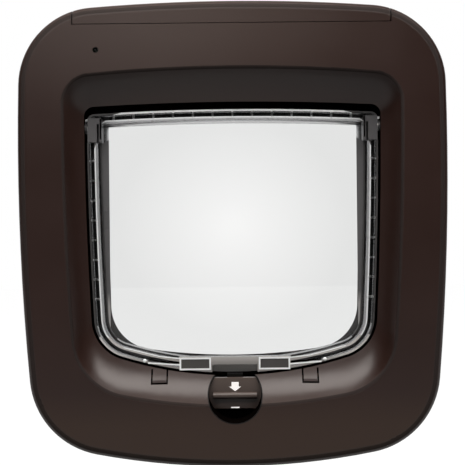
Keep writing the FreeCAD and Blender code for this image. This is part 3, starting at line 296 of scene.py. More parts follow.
class Finish:
    """A material with one Principled shader, and short ways to wire its detail."""

    def __init__(self, name, **constants):
        self.material = bpy.data.materials.new(name)
        self.material.use_nodes = True
        self.tree = self.material.node_tree
        self.tree.nodes.clear()
        output = self.tree.nodes.new("ShaderNodeOutputMaterial")
        self.shader = self.tree.nodes.new("ShaderNodeBsdfPrincipled")
        self.tree.links.new(self.shader.outputs["BSDF"], output.inputs["Surface"])
        set_inputs(self.shader, constants)

    def group(self, tree, **values):
        """The outputs of a shared effect, which is given this material's own values."""
        node = self.tree.nodes.new("ShaderNodeGroup")
        node.node_tree = tree
        set_inputs(node, values)
        return node.outputs

    def tones(self, factor, first, second):
        """A colour between two others, each of them a fixed tone or an output."""
        return mix_tones(self.tree, factor, first, second)

    def spread(self, factor, low, high):
        """A number between two values."""
        return map_range(self.tree, factor, onto=(low, high))

    def larger(self, first, second):
        """The larger of two numbers."""
        return reckon(self.tree, "MAXIMUM", first, second)

    def up(self, span):
        """From 0 at a low level to 1 at a high one."""
        return map_range(self.tree, split_place(self.tree)["Z"], span)

    def depth_band(self, outer, inner):
        """High between an outer and an inner depth, each given as the Y where it is 0 and where it is 1."""
        depth = split_place(self.tree)["Y"]
        first = map_range(self.tree, depth, outer)
        second = map_range(self.tree, depth, inner)
        return reckon(self.tree, "MULTIPLY", first, second)

    def shares(self, centre, reach, operation):
        """A point's place from a centre in the XZ plane, in shares of a reach, after one vector operation."""
        place = self.tree.nodes.new("ShaderNodeTexCoord")
        mapping = self.tree.nodes.new("ShaderNodeMapping")
        mapping.vector_type = "TEXTURE"
        mapping.inputs["Location"].default_value = (centre[0], 0, centre[1])
        mapping.inputs["Scale"].default_value = (reach[0], FLATTENED, reach[1])
        node = self.tree.nodes.new("ShaderNodeVectorMath")
        node.operation = operation
        self.tree.links.new(place.outputs["Object"], mapping.inputs["Vector"])
        self.tree.links.new(mapping.outputs["Vector"], node.inputs[0])
        return node.outputs

    def from_centre(self, centre, reach, span):
        """How far out a point lies from a centre, from 0 to 1 over a span of shares of the reach."""
        away = self.shares(centre, reach, "LENGTH")["Value"]
        return map_range(self.tree, away, span)

    def boxed(self, centre, half, span):
        """How far out a point lies in a box, from 0 to 1 over a span of shares of its half sides."""
        parts = self.tree.nodes.new("ShaderNodeSeparateXYZ")
        self.tree.links.new(self.shares(centre, half, "ABSOLUTE")["Vector"], parts.inputs["Vector"])
        return map_range(self.tree, self.larger(parts.outputs["X"], parts.outputs["Z"]), span)

    def link(self, value, label):
        """Feed one of the shader's inputs."""
        self.tree.links.new(value, self.shader.inputs[label])

    def bump(self, height, depth):
        """A bump of a depth in metres."""
        node = self.tree.nodes.new("ShaderNodeBump")
        node.inputs["Strength"].default_value = 1.0
        node.inputs["Distance"].default_value = depth
        self.tree.links.new(height, node.inputs["Height"])
        self.link(node.outputs["Normal"], "Normal")


GRAIN_DEEP = 0.010 * MM
FINE_GRAIN_DEEP = 0.008 * MM
SMOOTH_DEEP = 0.006 * MM
POLISHED_DEEP = 0.004 * MM
CLEAR_INDEX = 1.49
CLOUDED_SHARE = 0.985
HANDLING_MARKS = {"Length_Scale": 90.0, "Across_Scale": 1500.0}


def satin_plastic(name, deep, pale, rough=(0.36, 0.46), **constants):
    """Moulded plastic with a satin spark-eroded surface, between a deep and a pale tone."""
    finish = Finish(name, **constants)
    texture = finish.group(moulded_grain)
    finish.link(finish.tones(texture["Cloud"], deep, pale), "Base Color")
    finish.link(finish.spread(texture["Cloud"], *rough), "Roughness")
    finish.bump(texture["Height"], GRAIN_DEEP)
    return finish.material


def level_plastic(name, levels, low_tone, high_tone):
    """Translucent grey whose tone changes between two levels."""
    finish = Finish(name)
    texture = finish.group(moulded_grain)
    finish.link(finish.tones(finish.up(levels), low_tone, high_tone), "Base Color")
    finish.link(finish.spread(texture["Cloud"], 0.25, 0.4), "Roughness")
    finish.bump(texture["Height"], FINE_GRAIN_DEEP)
    return finish.material


def brushed_metal(name, deep, pale, rough=(0.22, 0.42)):
    """Drawn or plated metal with fine lines along X."""
    finish = Finish(name, Metallic=1.0)
    lines = finish.group(hairlines)
    finish.link(finish.tones(lines["Height"], deep, pale), "Base Color")
    finish.link(finish.spread(lines["Height"], *rough), "Roughness")
    finish.bump(lines["Height"], POLISHED_DEEP)
    return finish.material


def clear_plastic(name, tint, rough=(0.015, 0.05)):
    """Clear moulding with faint handling marks."""
    finish = Finish(name, Transmission_Weight=1.0, IOR=CLEAR_INDEX)
    lines = finish.group(hairlines, **HANDLING_MARKS)
    texture = finish.group(moulded_grain, Cloud_Scale=40.0)
    deep = tuple(CLOUDED_SHARE * part for part in tint)
    finish.link(finish.tones(texture["Cloud"], deep, tint), "Base Color")
    finish.link(finish.spread(lines["Mask"], *rough), "Roughness")
    finish.bump(texture["Cloud"], SMOOTH_DEEP)
    return finish.material


def matt_finish(name, deep, pale, **constants):
    """Matt ink or fibre with a very fine grain."""
    finish = Finish(name, Roughness=0.5, **constants)
    texture = finish.group(moulded_grain, Grain_Scale=4200.0)
    finish.link(finish.tones(texture["Height"], deep, pale), "Base Color")
    finish.bump(texture["Height"], SMOOTH_DEEP)
    return finish.material


# The frames' brown: paler below as painted light, a painted highlight at the top left, and painted shade at
# the dish's crest, which hardly shines

FRAME_DEEP = (0.0205, 0.0092, 0.0068)
FRAME_PALE = (0.0240, 0.0112, 0.0086)
FRAME_ROUGH = (0.30, 0.36)
LOW_PAINTED_LIGHT = (0.031, 0.0165, 0.0105)
LOW_PAINTED_LIGHT_SPAN = (-95 * MM, -78 * MM)
PAINTED_SHEEN_TONE = (0.050, 0.034, 0.029)
PAINTED_SHEEN_CENTRE = (-25 * MM, 108 * MM)
PAINTED_SHEEN_REACH = (120 * MM, 60 * MM)
PAINTED_SHEEN_SPAN = (0.2, 1.0)
SHADED = (0.0012, 0.0006, 0.0005)
CREST_OUT = (-33.99 * MM, -33.93 * MM)
CREST_IN = (-32.95 * MM, -33.15 * MM)
CREST_BROWN = 0.45
CREST_ROUGH = 0.9

WINDOW_Z = -80.5 * MM
RING_REACH = (13.9 * MM, 13.9 * MM)
RING_SPAN = (0.975, 1.0)
RING_ROUGH = 0.95

TAB_X = 37.9 * MM
TAB_EDGE_Z = -74.15 * MM
TAB_EDGE_HALF = (3.45 * MM, 0.62 * MM)
TAB_EDGE_SPAN = (0.95, 1.0)
TAB_EDGE_SHADE = (0.0120, 0.0030, 0.0025)
TAB_EDGE_ROUGH = 0.7


def framed_plastic(name, fitted=False):
    """The frames' satin brown. The fitted one has painted shade in a dark ring round the lock window and at
    the tab ends.
    """
    finish = Finish(name, Specular_IOR_Level=0.45)
    texture = finish.group(moulded_grain)
    crest = finish.depth_band(CREST_OUT, CREST_IN)
    painted_sheen = finish.from_centre(PAINTED_SHEEN_CENTRE, PAINTED_SHEEN_REACH, PAINTED_SHEEN_SPAN)
    brown = finish.tones(texture["Cloud"], FRAME_DEEP, FRAME_PALE)
    # Painted light: the brown turns paler towards the bottom border, where light bounces up from the floor.
    brown = finish.tones(finish.up(LOW_PAINTED_LIGHT_SPAN), LOW_PAINTED_LIGHT, brown)
    # Painted highlight: a paler patch on the top border towards the left, standing for a lamp's sheen.
    brown = finish.tones(painted_sheen, PAINTED_SHEEN_TONE, brown)
    # Painted shade: the crest of the dish is darkened towards black.
    brown = finish.tones(finish.spread(crest, 1.0, CREST_BROWN), SHADED, brown)
    rough = finish.spread(texture["Cloud"], *FRAME_ROUGH)
    rough = finish.larger(rough, finish.spread(crest, 0.0, CREST_ROUGH))
    if fitted:
        # Painted shade: a dark ring round the lock window, where the hole's edge throws a shadow line.
        ring = finish.from_centre((0, WINDOW_Z), RING_REACH, RING_SPAN)
        brown = finish.tones(ring, SHADED, brown)
        rough = finish.larger(rough, finish.spread(ring, RING_ROUGH, 0.0))
        for side in (-1, 1):
            # Painted shade: a dark band at the end of each tab, by the lip of the port.
            end = finish.boxed((side * TAB_X, TAB_EDGE_Z), TAB_EDGE_HALF, TAB_EDGE_SPAN)
            brown = finish.tones(end, TAB_EDGE_SHADE, brown)
            rough = finish.larger(rough, finish.spread(end, TAB_EDGE_ROUGH, 0.0))
    finish.link(brown, "Base Color")
    finish.link(rough, "Roughness")
    finish.bump(texture["Height"], FINE_GRAIN_DEEP)
    return finish.material


SLIDE_SPAN = (-89 * MM, -73 * MM)
SLIDE_PAINTED_SHADE = (0.030, 0.0200, 0.0165)
SLIDE_PAINTED_LIGHT = (0.088, 0.0680, 0.0590)


def slide_plastic():
    """The lock slide, lighter at its top and darker below, as painted light and shade."""
    finish = Finish("slide_plastic")
    texture = finish.group(moulded_grain)
    finish.link(finish.tones(finish.up(SLIDE_SPAN), SLIDE_PAINTED_SHADE, SLIDE_PAINTED_LIGHT), "Base Color")
    finish.link(finish.spread(texture["Cloud"], 0.34, 0.42), "Roughness")
    finish.bump(texture["Height"], GRAIN_DEEP)
    return finish.material


TUNNEL_CENTRE = (0, -3 * MM)
TUNNEL_HALF = (80 * MM, 75 * MM)
TUNNEL_SPAN = (0.97, 1.0)
TUNNEL_PAINTED_SHADE = (0.0022, 0.0016, 0.0014)
BAY_BROWN = (0.016, 0.0100, 0.0085)


def housing_plastic():
    """The unseen mouldings: dull black round the tunnel as painted shade, and dark brown in the battery bay.
    """
    finish = Finish("dark_brown_plastic", Specular_IOR_Level=0.0)
    texture = finish.group(moulded_grain)
    bay = finish.boxed(TUNNEL_CENTRE, TUNNEL_HALF, TUNNEL_SPAN)
    finish.link(finish.tones(bay, TUNNEL_PAINTED_SHADE, BAY_BROWN), "Base Color")
    finish.link(finish.spread(texture["Cloud"], 0.7, 0.8), "Roughness")
    finish.bump(texture["Height"], GRAIN_DEEP)
    return finish.material


PANE_CENTRE = (0, 4 * MM)
PANE_REACH = (70 * MM, 66 * MM)
PANE_SPAN = (0.05, 0.85)
PANE_CLEAR = (0.985, 0.985, 0.98)
PANE_EDGE_SHADE = (0.825, 0.83, 0.825)


def pane_plastic():
    """The clear pane, darker towards its edges as painted shade."""
    finish = Finish("clear_pane", Transmission_Weight=1.0, IOR=CLEAR_INDEX)
    lines = finish.group(hairlines, **HANDLING_MARKS)
    outward = finish.from_centre(PANE_CENTRE, PANE_REACH, PANE_SPAN)
    finish.link(finish.tones(outward, PANE_CLEAR, PANE_EDGE_SHADE), "Base Color")
    finish.link(finish.spread(lines["Mask"], 0.01, 0.04), "Roughness")
    finish.bump(outward, POLISHED_DEEP)
    return finish.material


# The finish of each material slot, and those of single parts

FINISHES = {
    "frame_plastic": framed_plastic("brown_satin_plastic"),
    "housing_plastic": housing_plastic(),
    "slider_plastic": slide_plastic(),
    "clear_plastic": pane_plastic(),
    "smoke_plastic": satin_plastic("grey_hinge_plastic", (0.070, 0.070, 0.074), (0.090, 0.090, 0.094)),
    "pile": matt_finish("black_pile", (0.003, 0.003, 0.003), (0.010, 0.009, 0.009)),
    "magnet": satin_plastic("ferrite", (0.040, 0.039, 0.038), (0.062, 0.060, 0.059), rough=(0.5, 0.7)),
    "steel": brushed_metal("bright_steel", (0.46, 0.46, 0.46), (0.70, 0.70, 0.70)),
    "contact_metal": brushed_metal("nickel_plate", (0.52, 0.50, 0.45), (0.72, 0.69, 0.62)),
    "cell_wrap": satin_plastic("cell_wrap", (0.012, 0.020, 0.030), (0.020, 0.030, 0.045), rough=(0.18, 0.3)),
    "button_plastic": satin_plastic("button_plastic", (0.42, 0.42, 0.40), (0.52, 0.52, 0.50)),
    "board": satin_plastic("board_green", (0.010, 0.055, 0.026), (0.016, 0.080, 0.038), rough=(0.2, 0.35)),
    "light_pipe": clear_plastic("light_pipe", (0.96, 0.97, 0.97)),
    "copper_winding": brushed_metal("enamelled_copper", (0.055, 0.022, 0.012), (0.095, 0.040, 0.022)),
    "solenoid_case": satin_plastic("blackened_case", (0.0012, 0.0012, 0.0012), (0.003, 0.003, 0.003),
                                   rough=(0.7, 0.8), Specular_IOR_Level=0.1),
}

front_plastic = framed_plastic("brown_front_plastic", fitted=True)
# Near-black with no gloss that stands in as painted shade in recesses, slots and slits.
painted_recess_shade = satin_plastic("painted_recess_shade", (0.0010, 0.0007, 0.0006), (0.0020, 0.0014, 0.0012),
                             rough=(0.75, 0.85), Specular_IOR_Level=0.0)
# Painted shade: steel made nearly black for the latch tongue, which sits in the shade above the slide.
steel_painted_shade = brushed_metal("steel_painted_shade", (0.012, 0.012, 0.012), (0.022, 0.021, 0.020),
                                rough=(0.45, 0.6))
frosted_rib = clear_plastic("frosted_rib", (0.93, 0.93, 0.93), rough=(0.50, 0.62))
# Painted shade: clear plastic tinted dark for the walls of the flap's clear rim.
tinted_rim_shade = clear_plastic("tinted_rim_shade", (0.42, 0.42, 0.43), rough=(0.16, 0.24))
# Painted shade: opaque dark grey on the outer faces of the clear rim.
grey_rim_shade = satin_plastic("grey_rim_shade", (0.040, 0.040, 0.041), (0.060, 0.060, 0.061), rough=(0.25, 0.35))
# Painted highlight: opaque near-white on the rungs, rails and small edges of the clear moulding.
white_rim_highlight = satin_plastic("white_rim_highlight", (0.80, 0.84, 0.86), (0.88, 0.92, 0.94), rough=(0.25, 0.4))
# Painted light and shade: the clear foot as grey, paler towards its top.
grey_foot = level_plastic("grey_foot", (-65.5 * MM, -61.0 * MM), (0.24, 0.235, 0.23), (0.50, 0.50, 0.49))
# Painted light and shade: the pane's side margins, where the tunnel's walls show through, paler below and
# dark grey above.
margin_painted_light = level_plastic("margin_painted_light", (-37 * MM, -30 * MM), (0.34, 0.34, 0.34),
                               (0.095, 0.096, 0.10))
# Printed white ink; its emission is a painted glow that lifts it out of the window's shade.
print_ink_painted_glow = matt_finish("print_ink_painted_glow", (0.86, 0.85, 0.84), (0.94, 0.93, 0.92),
                        Emission_Color=(1, 1, 1, 1), Emission_Strength=0.3)


def dress_nodes():
    """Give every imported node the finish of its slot."""
    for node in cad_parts.values():
        for slot in node.material_slots:
            slot.material = FINISHES[slot.material.name.split(".")[0]]
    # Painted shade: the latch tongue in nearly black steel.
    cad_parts["latch_tongue"].material_slots[0].material = steel_painted_shade


# Ways to make a piece

SHARP_ANGLE = math.radians(35)
MERGE = 0.001 * MM
SKIN = 0.1 * MM
FACING = 0.9


def node_copy(name):
    """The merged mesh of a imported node."""
    shape = bmesh.new()
    shape.from_mesh(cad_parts[name].data)
    bmesh.ops.remove_doubles(shape, verts=shape.verts, dist=MERGE)
    shape.normal_update()
    return shape


def corner_key(corner, middle):
    """The place of a face's corner and of its middle, rounded so that equal ones match."""
    return tuple(round(part / MERGE / 2) for part in (*corner, *middle))


def keep_normals(mesh, name):
    """Give a copy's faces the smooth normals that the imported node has."""
    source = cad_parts[name].data
    known = {}
    for face in source.polygons:
        for loop in face.loop_indices:
            corner = source.vertices[source.loops[loop].vertex_index].co
            known[corner_key(corner, face.center)] = source.corner_normals[loop].vector.copy()
    normals = []
    for face in mesh.polygons:
        for loop in face.loop_indices:
            corner = mesh.vertices[mesh.loops[loop].vertex_index].co
            normals.append(known.get(corner_key(corner, face.center), face.normal))
    mesh.normals_split_custom_set(normals)


def add_piece(name, shape, materials, body, copied=None):
    """Turn a bmesh into a piece that rides on a body, and may stand for the node that it copies."""
    if not copied:
        bmesh.ops.recalc_face_normals(shape, faces=shape.faces)
    for face in shape.faces:
        face.smooth = True
    for edge in shape.edges:
        edge.smooth = len(edge.link_faces) == 2 and edge.calc_face_angle() < SHARP_ANGLE
    mesh = bpy.data.meshes.new(name)
    shape.to_mesh(mesh)
    shape.free()
    for material in materials:
        mesh.materials.append(material)
    if copied:
        keep_normals(mesh, copied)
    piece = bpy.data.objects.new(name, mesh)
    bpy.context.scene.collection.objects.link(piece)
    if copied:
        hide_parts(copied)
    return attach(piece, body)


def triangulate_all(shape):
    """Split the faces that have more than three corners."""
    wide = [face for face in shape.faces if len(face.verts) > 3]
    bmesh.ops.triangulate(shape, faces=wide)
    shape.normal_update()


def thicken(shape, faces, reach):
    """Extrude faces along Y."""
    grown = bmesh.ops.extrude_face_region(shape, geom=faces)
    moved = [item for item in grown["geom"] if isinstance(item, bmesh.types.BMVert)]
    bmesh.ops.translate(shape, verts=moved, vec=(0, reach, 0))


def rectangle(x, z, half_wide, half_tall):
    """The corners of an upright rectangle about its middle, in X and Z."""
    return [(x - half_wide, z - half_tall), (x + half_wide, z - half_tall),
            (x + half_wide, z + half_tall), (x - half_wide, z + half_tall)]


def flat_face(shape, outline, front):
    """A face at Y = front, from points in X and Z."""
    return shape.faces.new([shape.verts.new((x, front, z)) for x, z in outline])


def flat_plate(outline, front, thick):
    """A flat shape that goes back from Y = front."""
    shape = bmesh.new()
    thicken(shape, [flat_face(shape, outline, front)], thick)
    return shape


MARK_PROUD = 0.06 * MM


def add_mark(name, outline, front, finish, body):
    """A thin mark that stands as far out of the face at Y = front as it is let into it."""
    plate = flat_plate(outline, front - MARK_PROUD, 2 * MARK_PROUD)
    add_piece(name, plate, [finish], body)


# The inner frame, with its slope made flush beside the lock window

WINDOW_ROUND = 13.35 * MM
BORE_FACING = 0.8
GUIDE_NEAR, GUIDE_FAR = 14.3 * MM, 15.9 * MM
GUIDE_LOW, GUIDE_HIGH = -84.6 * MM, -73.0 * MM
SLOPE_TOP = (-75.0 * MM, -24.2 * MM)
SLOPE_FOOT = (-84.0 * MM, -32.8 * MM)
SLOPE_SKIN = 1.5 * MM
SLEEVE_FROM = -22.45 * MM
SLEEVE_HALF = 78 * MM
TAB_REACH = 4.4 * MM
TAB_LOW, TAB_HIGH = -76.0 * MM, -66.0 * MM
TAB_WALL_FACING = 0.2
TINY = 0.03 * MM


def stands_proud(face):
    """Whether a face is part of a slide guide that stands out of the slope."""
    for corner in face.verts:
        across = abs(corner.co.x)
        if not (GUIDE_NEAR - TINY < across < GUIDE_FAR + TINY and GUIDE_LOW < corner.co.z < GUIDE_HIGH):
            return False
    middle = face.calc_center_median()
    down = (middle.z - SLOPE_TOP[0]) / (SLOPE_FOOT[0] - SLOPE_TOP[0])
    slope = SLOPE_TOP[1] + down * (SLOPE_FOOT[1] - SLOPE_TOP[1])
    return middle.y < slope + SLOPE_SKIN


def recessed(face):
    """Whether a face lies in the lock window's bore, in a tab's cut or in the sleeve of the port."""
    middle = face.calc_center_median()
    if math.hypot(middle.x, middle.z - WINDOW_Z) < WINDOW_ROUND and face.normal.y > -BORE_FACING:
        return True
    by_tab = abs(abs(middle.x) - TAB_X) < TAB_REACH and TAB_LOW < middle.z < TAB_HIGH
    if by_tab and abs(face.normal.y) < TAB_WALL_FACING:
        return True
    return middle.y > SLEEVE_FROM and abs(middle.x) < SLEEVE_HALF and abs(middle.z) < SLEEVE_HALF


def open_edges(shape):
    """The edges that have a face on one side only."""
    return [edge for edge in shape.edges if edge.is_boundary]


def along_slope(edge):
    """Whether an edge keeps its X."""
    return abs(edge.verts[0].co.x - edge.verts[1].co.x) < TINY


def make_frame():
    """A copy of the frame without the proud ends of its slide guides, and with its recesses black as painted
    shade.
    """
    shape = node_copy("interior_frame")
    proud = [face for face in shape.faces if stands_proud(face)]
    bmesh.ops.delete(shape, geom=proud, context="FACES")
    for sign in (-1, 1):
        sides = [edge for edge in open_edges(shape) if sign * edge.verts[0].co.x > 0 and along_slope(edge)]
        if sides:
            bmesh.ops.bridge_loops(shape, edges=sides)
    bmesh.ops.holes_fill(shape, edges=open_edges(shape), sides=0)
    triangulate_all(shape)
    for face in shape.faces:
        face.material_index = 1 if recessed(face) else 0
    finishes = [front_plastic, painted_recess_shade]
    add_piece("interior_frame_shell", shape, finishes, "housing", "interior_frame")


# The flap's moulding, with a finish for each of its ribs

# Zones of the flap: smoke is the rim's walls in painted shade, dim is painted shade, rung is painted
# highlight, and foot and margin carry painted light and shade by level.
ZONES = {
    "pane": FINISHES["clear_plastic"],
    "smoke": tinted_rim_shade,
    "rail": frosted_rib,
    "dim": grey_rim_shade,
    "foot": grey_foot,
    "rung": white_rim_highlight,
    "margin": margin_painted_light,
}
PAST_RIM = 1.2 * MM
PANE_FROM = 6.45 * MM
FOOT_TOP = -52.0 * MM
STEP_LEVEL = 3.9 * MM
RUNG_LEVEL = 1.5 * MM
SIDE_FROM = 60 * MM
MARGIN_FROM = 63.1 * MM
CHANNEL_TOP, CHANNEL_SIDE = 56.5 * MM, 67.5 * MM
NOTCH_HALF = 12.8 * MM
NOTCH_LOW, NOTCH_HIGH = -70.6 * MM, -63.0 * MM


def in_back(face, back):
    """Whether a face lies in the flap's back plane."""
    return face.normal.y > FACING and abs(face.calc_center_median().y - back) < SKIN


def rim_distance(shape, back):
    """Finds how far a point lies inside the flap's outer wall."""
    wall = set()
    for edge in shape.edges:
        others = [face for face in edge.link_faces if not in_back(face, back)]
        if len(edge.link_faces) == 2 and len(others) == 1:
            wall.update(others)
    sheet = bmesh.new()
    for face in wall:
        sheet.faces.new([sheet.verts.new(corner.co) for corner in face.verts])
    tree = BVHTree.FromBMesh(sheet)
    sheet.free()
    return lambda point: tree.find_nearest(Vector((point.x, back, point.z)))[3]


def deepest(face, inside):
    """How far inside the outer wall a face reaches."""
    return max(inside(corner.co) for corner in face.verts)


def across_channel(face, middle):
    """Whether a wall runs across the laddered rim, as its rungs do."""
    if middle.z > CHANNEL_TOP:
        return abs(face.normal.x) > FACING
    return abs(middle.x) > CHANNEL_SIDE and abs(face.normal.z) > FACING and middle.z > FOOT_TOP


def flap_zone(face, front, inside):
    """The zone of one face of the flap, by its depth behind the front and its distance from the rim."""
    middle = face.calc_center_median()
    if face.normal.y > FACING:
        return "pane"
    if face.normal.y > -FACING:
        return "rung" if across_channel(face, middle) and inside(middle) > PAST_RIM else "smoke"
    if abs(middle.x) < NOTCH_HALF and NOTCH_LOW < middle.z < NOTCH_HIGH:
        return "foot"
    depth = middle.y - front
    if depth < SKIN:
        if middle.z < FOOT_TOP:
            return "foot"
        if inside(middle) > PAST_RIM:
            return "rail"
        return "dim" if abs(middle.x) > SIDE_FROM else "rung"
    if abs(depth - RUNG_LEVEL) < SKIN:
        return "rung"
    if abs(depth - STEP_LEVEL) < SKIN:
        return "dim" if abs(middle.x) > SIDE_FROM else "rail"
    if deepest(face, inside) < PANE_FROM:
        return "smoke"
    return "margin" if abs(middle.x) > MARGIN_FROM else "pane"


def cut_margins(shape, inside):
    """Cut the pane's front along the lines where its margins, painted with light and shade, begin."""
    for side in (-1, 1):
        pane = [face for face in shape.faces if face.normal.y < -FACING and deepest(face, inside) > PANE_FROM]
        edges = dict.fromkeys(edge for face in pane for edge in face.edges)
        corners = dict.fromkeys(corner for face in pane for corner in face.verts)
        bmesh.ops.bisect_plane(shape, geom=[*pane, *edges, *corners],
                               plane_co=(side * MARGIN_FROM, 0, 0), plane_no=(1, 0, 0))


def make_flap():
    """A copy of the flap's moulding, with its pane cut where the margins begin."""
    low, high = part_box("flap_panel")
    shape = node_copy("flap_panel")
    inside = rim_distance(shape, high.y)
    cut_margins(shape, inside)
    triangulate_all(shape)
    names = list(ZONES)
    for face in shape.faces:
        face.material_index = names.index(flap_zone(face, low.y, inside))
    add_piece("flap_moulding", shape, ZONES.values(), "flap", "flap_panel")


# The draught strip's pile

PILE_BASE = 0.9 * MM
PILE_NEEDLES = 6000
PILE_ROUND = 0.10 * MM
PILE_LEAN = 0.22 * MM
PILE_SHORTEST = 0.75
PILE_TAPER = 0.25
PILE_SEED = 11


def pile_carrier(level):
    """The strip cut off at a level, and the faces that close the cut."""
    shape = node_copy("draught_brush")
    parts = [*shape.verts, *shape.edges, *shape.faces]
    cut = bmesh.ops.bisect_plane(shape, geom=parts, plane_co=(0, level, 0), plane_no=(0, -1, 0),
                                 clear_outer=True)
    rims = [item for item in cut["geom_cut"] if isinstance(item, bmesh.types.BMEdge)]
    bmesh.ops.triangle_fill(shape, use_beauty=True, edges=rims)
    bmesh.ops.triangulate(shape, faces=shape.faces)
    return shape, [face for face in shape.faces if abs(face.calc_center_median().y - level) < SKIN]


def scatter(faces, amount, chance):
    """Places spread evenly over triangles."""
    total = sum(face.calc_area() for face in faces)
    places = []
    for face in faces:
        a, b, c = (corner.co.copy() for corner in face.verts)
        for _ in range(round(amount * face.calc_area() / total)):
            u, v = sorted((chance.random(), chance.random()))
            places.append(a * u + b * (v - u) + c * (1 - v))
    return places


def make_pile():
    """The draught strip as short fibres that stand in its channel on a thin carrier."""
    low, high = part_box("draught_brush")
    level = high.y - PILE_BASE
    shape, top = pile_carrier(level)
    chance = random.Random(PILE_SEED)
    feet = []
    for root in scatter(top, PILE_NEEDLES, chance):
        turn = chance.uniform(0, math.tau)
        points = [root + PILE_ROUND * Vector((math.cos(turn + third), 0, math.sin(turn + third)))
                  for third in (0, math.tau / 3, -math.tau / 3)]
        feet.append(shape.faces.new([shape.verts.new(point) for point in points]))
    grown = bmesh.ops.extrude_discrete_faces(shape, faces=feet)
    reach = level - low.y
    for tip in grown["faces"]:
        middle = tip.calc_center_median()
        lean = Vector((chance.uniform(-1, 1), 0, chance.uniform(-1, 1))) * PILE_LEAN
        rise = Vector((0, -reach * chance.uniform(PILE_SHORTEST, 1.0), 0))
        for corner in tip.verts:
            corner.co = middle + (corner.co - middle) * PILE_TAPER + lean + rise
    pile = add_piece("draught_pile", shape, [FINISHES["pile"]], "flap")
    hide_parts("draught_brush")


# Small details in the flap's foot and on the hinge clips

SIDES = (("left", -1), ("right", 1))
MAGNET_BORDER = 0.85 * MM
BORDER_PROUD = 0.15 * MM


def make_magnet_borders():
    """A raised lip round each magnet, coloured as a painted highlight that stands for the bright edge of the
    clear lip.
    """
    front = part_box("flap_panel")[0].y
    for side, _ in SIDES:
        low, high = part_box(f"flap_magnet_{side}")
        middle = (low + high) / 2
        reach = (high - low) / 2
        outline = rectangle(middle.x, middle.z, reach.x + MAGNET_BORDER, reach.z + MAGNET_BORDER)
        shape = bmesh.new()
        face = flat_face(shape, outline, front)
        shape.normal_update()
        bmesh.ops.inset_region(shape, faces=[face], thickness=MAGNET_BORDER, use_even_offset=True,
                               use_boundary=True)
        bmesh.ops.delete(shape, geom=[face], context="FACES")
        thicken(shape, shape.faces[:], -BORDER_PROUD)
        add_piece(f"magnet_border_{side}", shape, [white_rim_highlight], "flap")


FOOT_PIN_X, FOOT_PIN_Z = 45.5 * MM, -64.2 * MM
FOOT_PIN_ROUND = 0.95 * MM
FOOT_PIN_FLAT = 0.5
FOOT_SLOT_FAR = 43.8 * MM
FOOT_SLOT_HALF = 0.35 * MM
FOOT_SLOT_DOWN = 1.6 * MM
FOOT_RIB_DOWN = 3.2 * FOOT_SLOT_HALF


def make_foot_pins():
    """The two moulded pins in the flap's foot, and the slot and the rib from each to its magnet. The pins and
    ribs are painted highlights and the slots painted shade.
    """
    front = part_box("flap_panel")[0].y
    for side, sign in SIDES:
        pin = bmesh.new()
        bmesh.ops.create_uvsphere(pin, u_segments=20, v_segments=12, radius=FOOT_PIN_ROUND)
        bmesh.ops.scale(pin, verts=pin.verts, vec=(1, FOOT_PIN_FLAT, 1))
        bmesh.ops.translate(pin, verts=pin.verts, vec=(sign * FOOT_PIN_X, front, FOOT_PIN_Z))
        add_piece(f"foot_pin_{side}", pin, [white_rim_highlight], "flap")
        low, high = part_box(f"flap_magnet_{side}")
        near = (high.x if sign > 0 else low.x) + sign * MAGNET_BORDER
        far = sign * FOOT_SLOT_FAR
        near_z = high.z - FOOT_SLOT_DOWN
        slot = [(near, near_z - FOOT_SLOT_HALF), (far, FOOT_PIN_Z - FOOT_SLOT_HALF),
                (far, FOOT_PIN_Z + FOOT_SLOT_HALF), (near, near_z + FOOT_SLOT_HALF)]
        rib = [(x, z - FOOT_RIB_DOWN) for x, z in slot]
        add_mark(f"foot_slot_{side}", slot, front, painted_recess_shade, "flap")
        add_mark(f"foot_rib_{side}", rib, front, white_rim_highlight, "flap")


STREAK = ((56.1 * MM, -57.4 * MM), (37.9 * MM, -62.1 * MM), (27.9 * MM, -63.2 * MM))
STREAK_HALF = 0.30 * MM
SLIT_X, SLIT_Z = 66.6 * MM, 53.1 * MM
SLIT_HALF_WIDE, SLIT_HALF_TALL = 0.40 * MM, 5.3 * MM
BAR_X, BAR_Z = 73.15 * MM, 57.6 * MM
BAR_HALF_WIDE, BAR_HALF_TALL = 1.35 * MM, 0.55 * MM
BAR_BACK = 1.2 * MM
BAR_THICK = 1.0 * MM


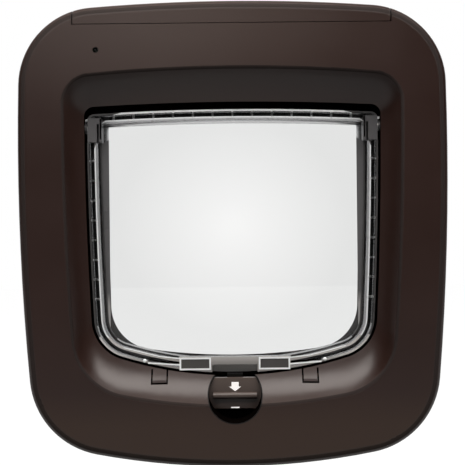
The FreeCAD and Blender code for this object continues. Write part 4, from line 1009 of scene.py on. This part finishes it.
def make_small_marks():
    """A painted highlight along the bevel above each magnet, the slit of each hinge clip in painted shade,
    and a painted highlight on the bar of each clip.
    """
    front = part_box("flap_panel")[0].y
    for side, sign in SIDES:
        upper = [(sign * x, z + STREAK_HALF) for x, z in STREAK]
        lower = [(sign * x, z - STREAK_HALF) for x, z in reversed(STREAK)]
        add_mark(f"foot_highlight_streak_{side}", upper + lower, front, white_rim_highlight, "flap")
        clip_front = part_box(f"hinge_clip_{side}")[0].y
        slit = rectangle(sign * SLIT_X, SLIT_Z, SLIT_HALF_WIDE, SLIT_HALF_TALL)
        add_mark(f"clip_slit_{side}", slit, clip_front, painted_recess_shade, "flap")
        bar = rectangle(sign * BAR_X, BAR_Z, BAR_HALF_WIDE, BAR_HALF_TALL)
        plate = flat_plate(bar, front + BAR_BACK, BAR_THICK)
        add_piece(f"clip_bar_{side}", plate, [white_rim_highlight], "flap")


# The print on the lock slide

SLIDE_RIDGE_OUT = 2.4 * MM
ARROW_TIP, ARROW_SHOULDER, ARROW_TOP = -79.9 * MM, -77.6 * MM, -75.3 * MM
ARROW_HEAD_HALF, ARROW_STEM_HALF = 3.05 * MM, 1.8 * MM
DASH_Z = -88.125 * MM
DASH_HALF_WIDE, DASH_HALF_TALL = 2.1 * MM, 0.325 * MM


def make_slide_marks():
    """The arrow that points down to the locked place, and the short bar below the ridge."""
    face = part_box("lock_slider")[0].y + SLIDE_RIDGE_OUT
    right = [(ARROW_STEM_HALF, ARROW_TOP), (ARROW_STEM_HALF, ARROW_SHOULDER),
             (ARROW_HEAD_HALF, ARROW_SHOULDER)]
    left = [(-x, z) for x, z in reversed(right)]
    arrow = [*right, (0, ARROW_TIP), *left]
    dash = rectangle(0, DASH_Z, DASH_HALF_WIDE, DASH_HALF_TALL)
    add_mark("slide_arrow", arrow, face, print_ink_painted_glow, "slider")
    add_mark("slide_bar", dash, face, print_ink_painted_glow, "slider")


bpy.context.scene.view_settings.view_transform = "Standard"
make_camera()
make_world()
make_lights()
make_floor()
dress_nodes()
make_frame()
make_flap()
make_pile()
make_magnet_borders()
make_foot_pins()
make_small_marks()
make_slide_marks()
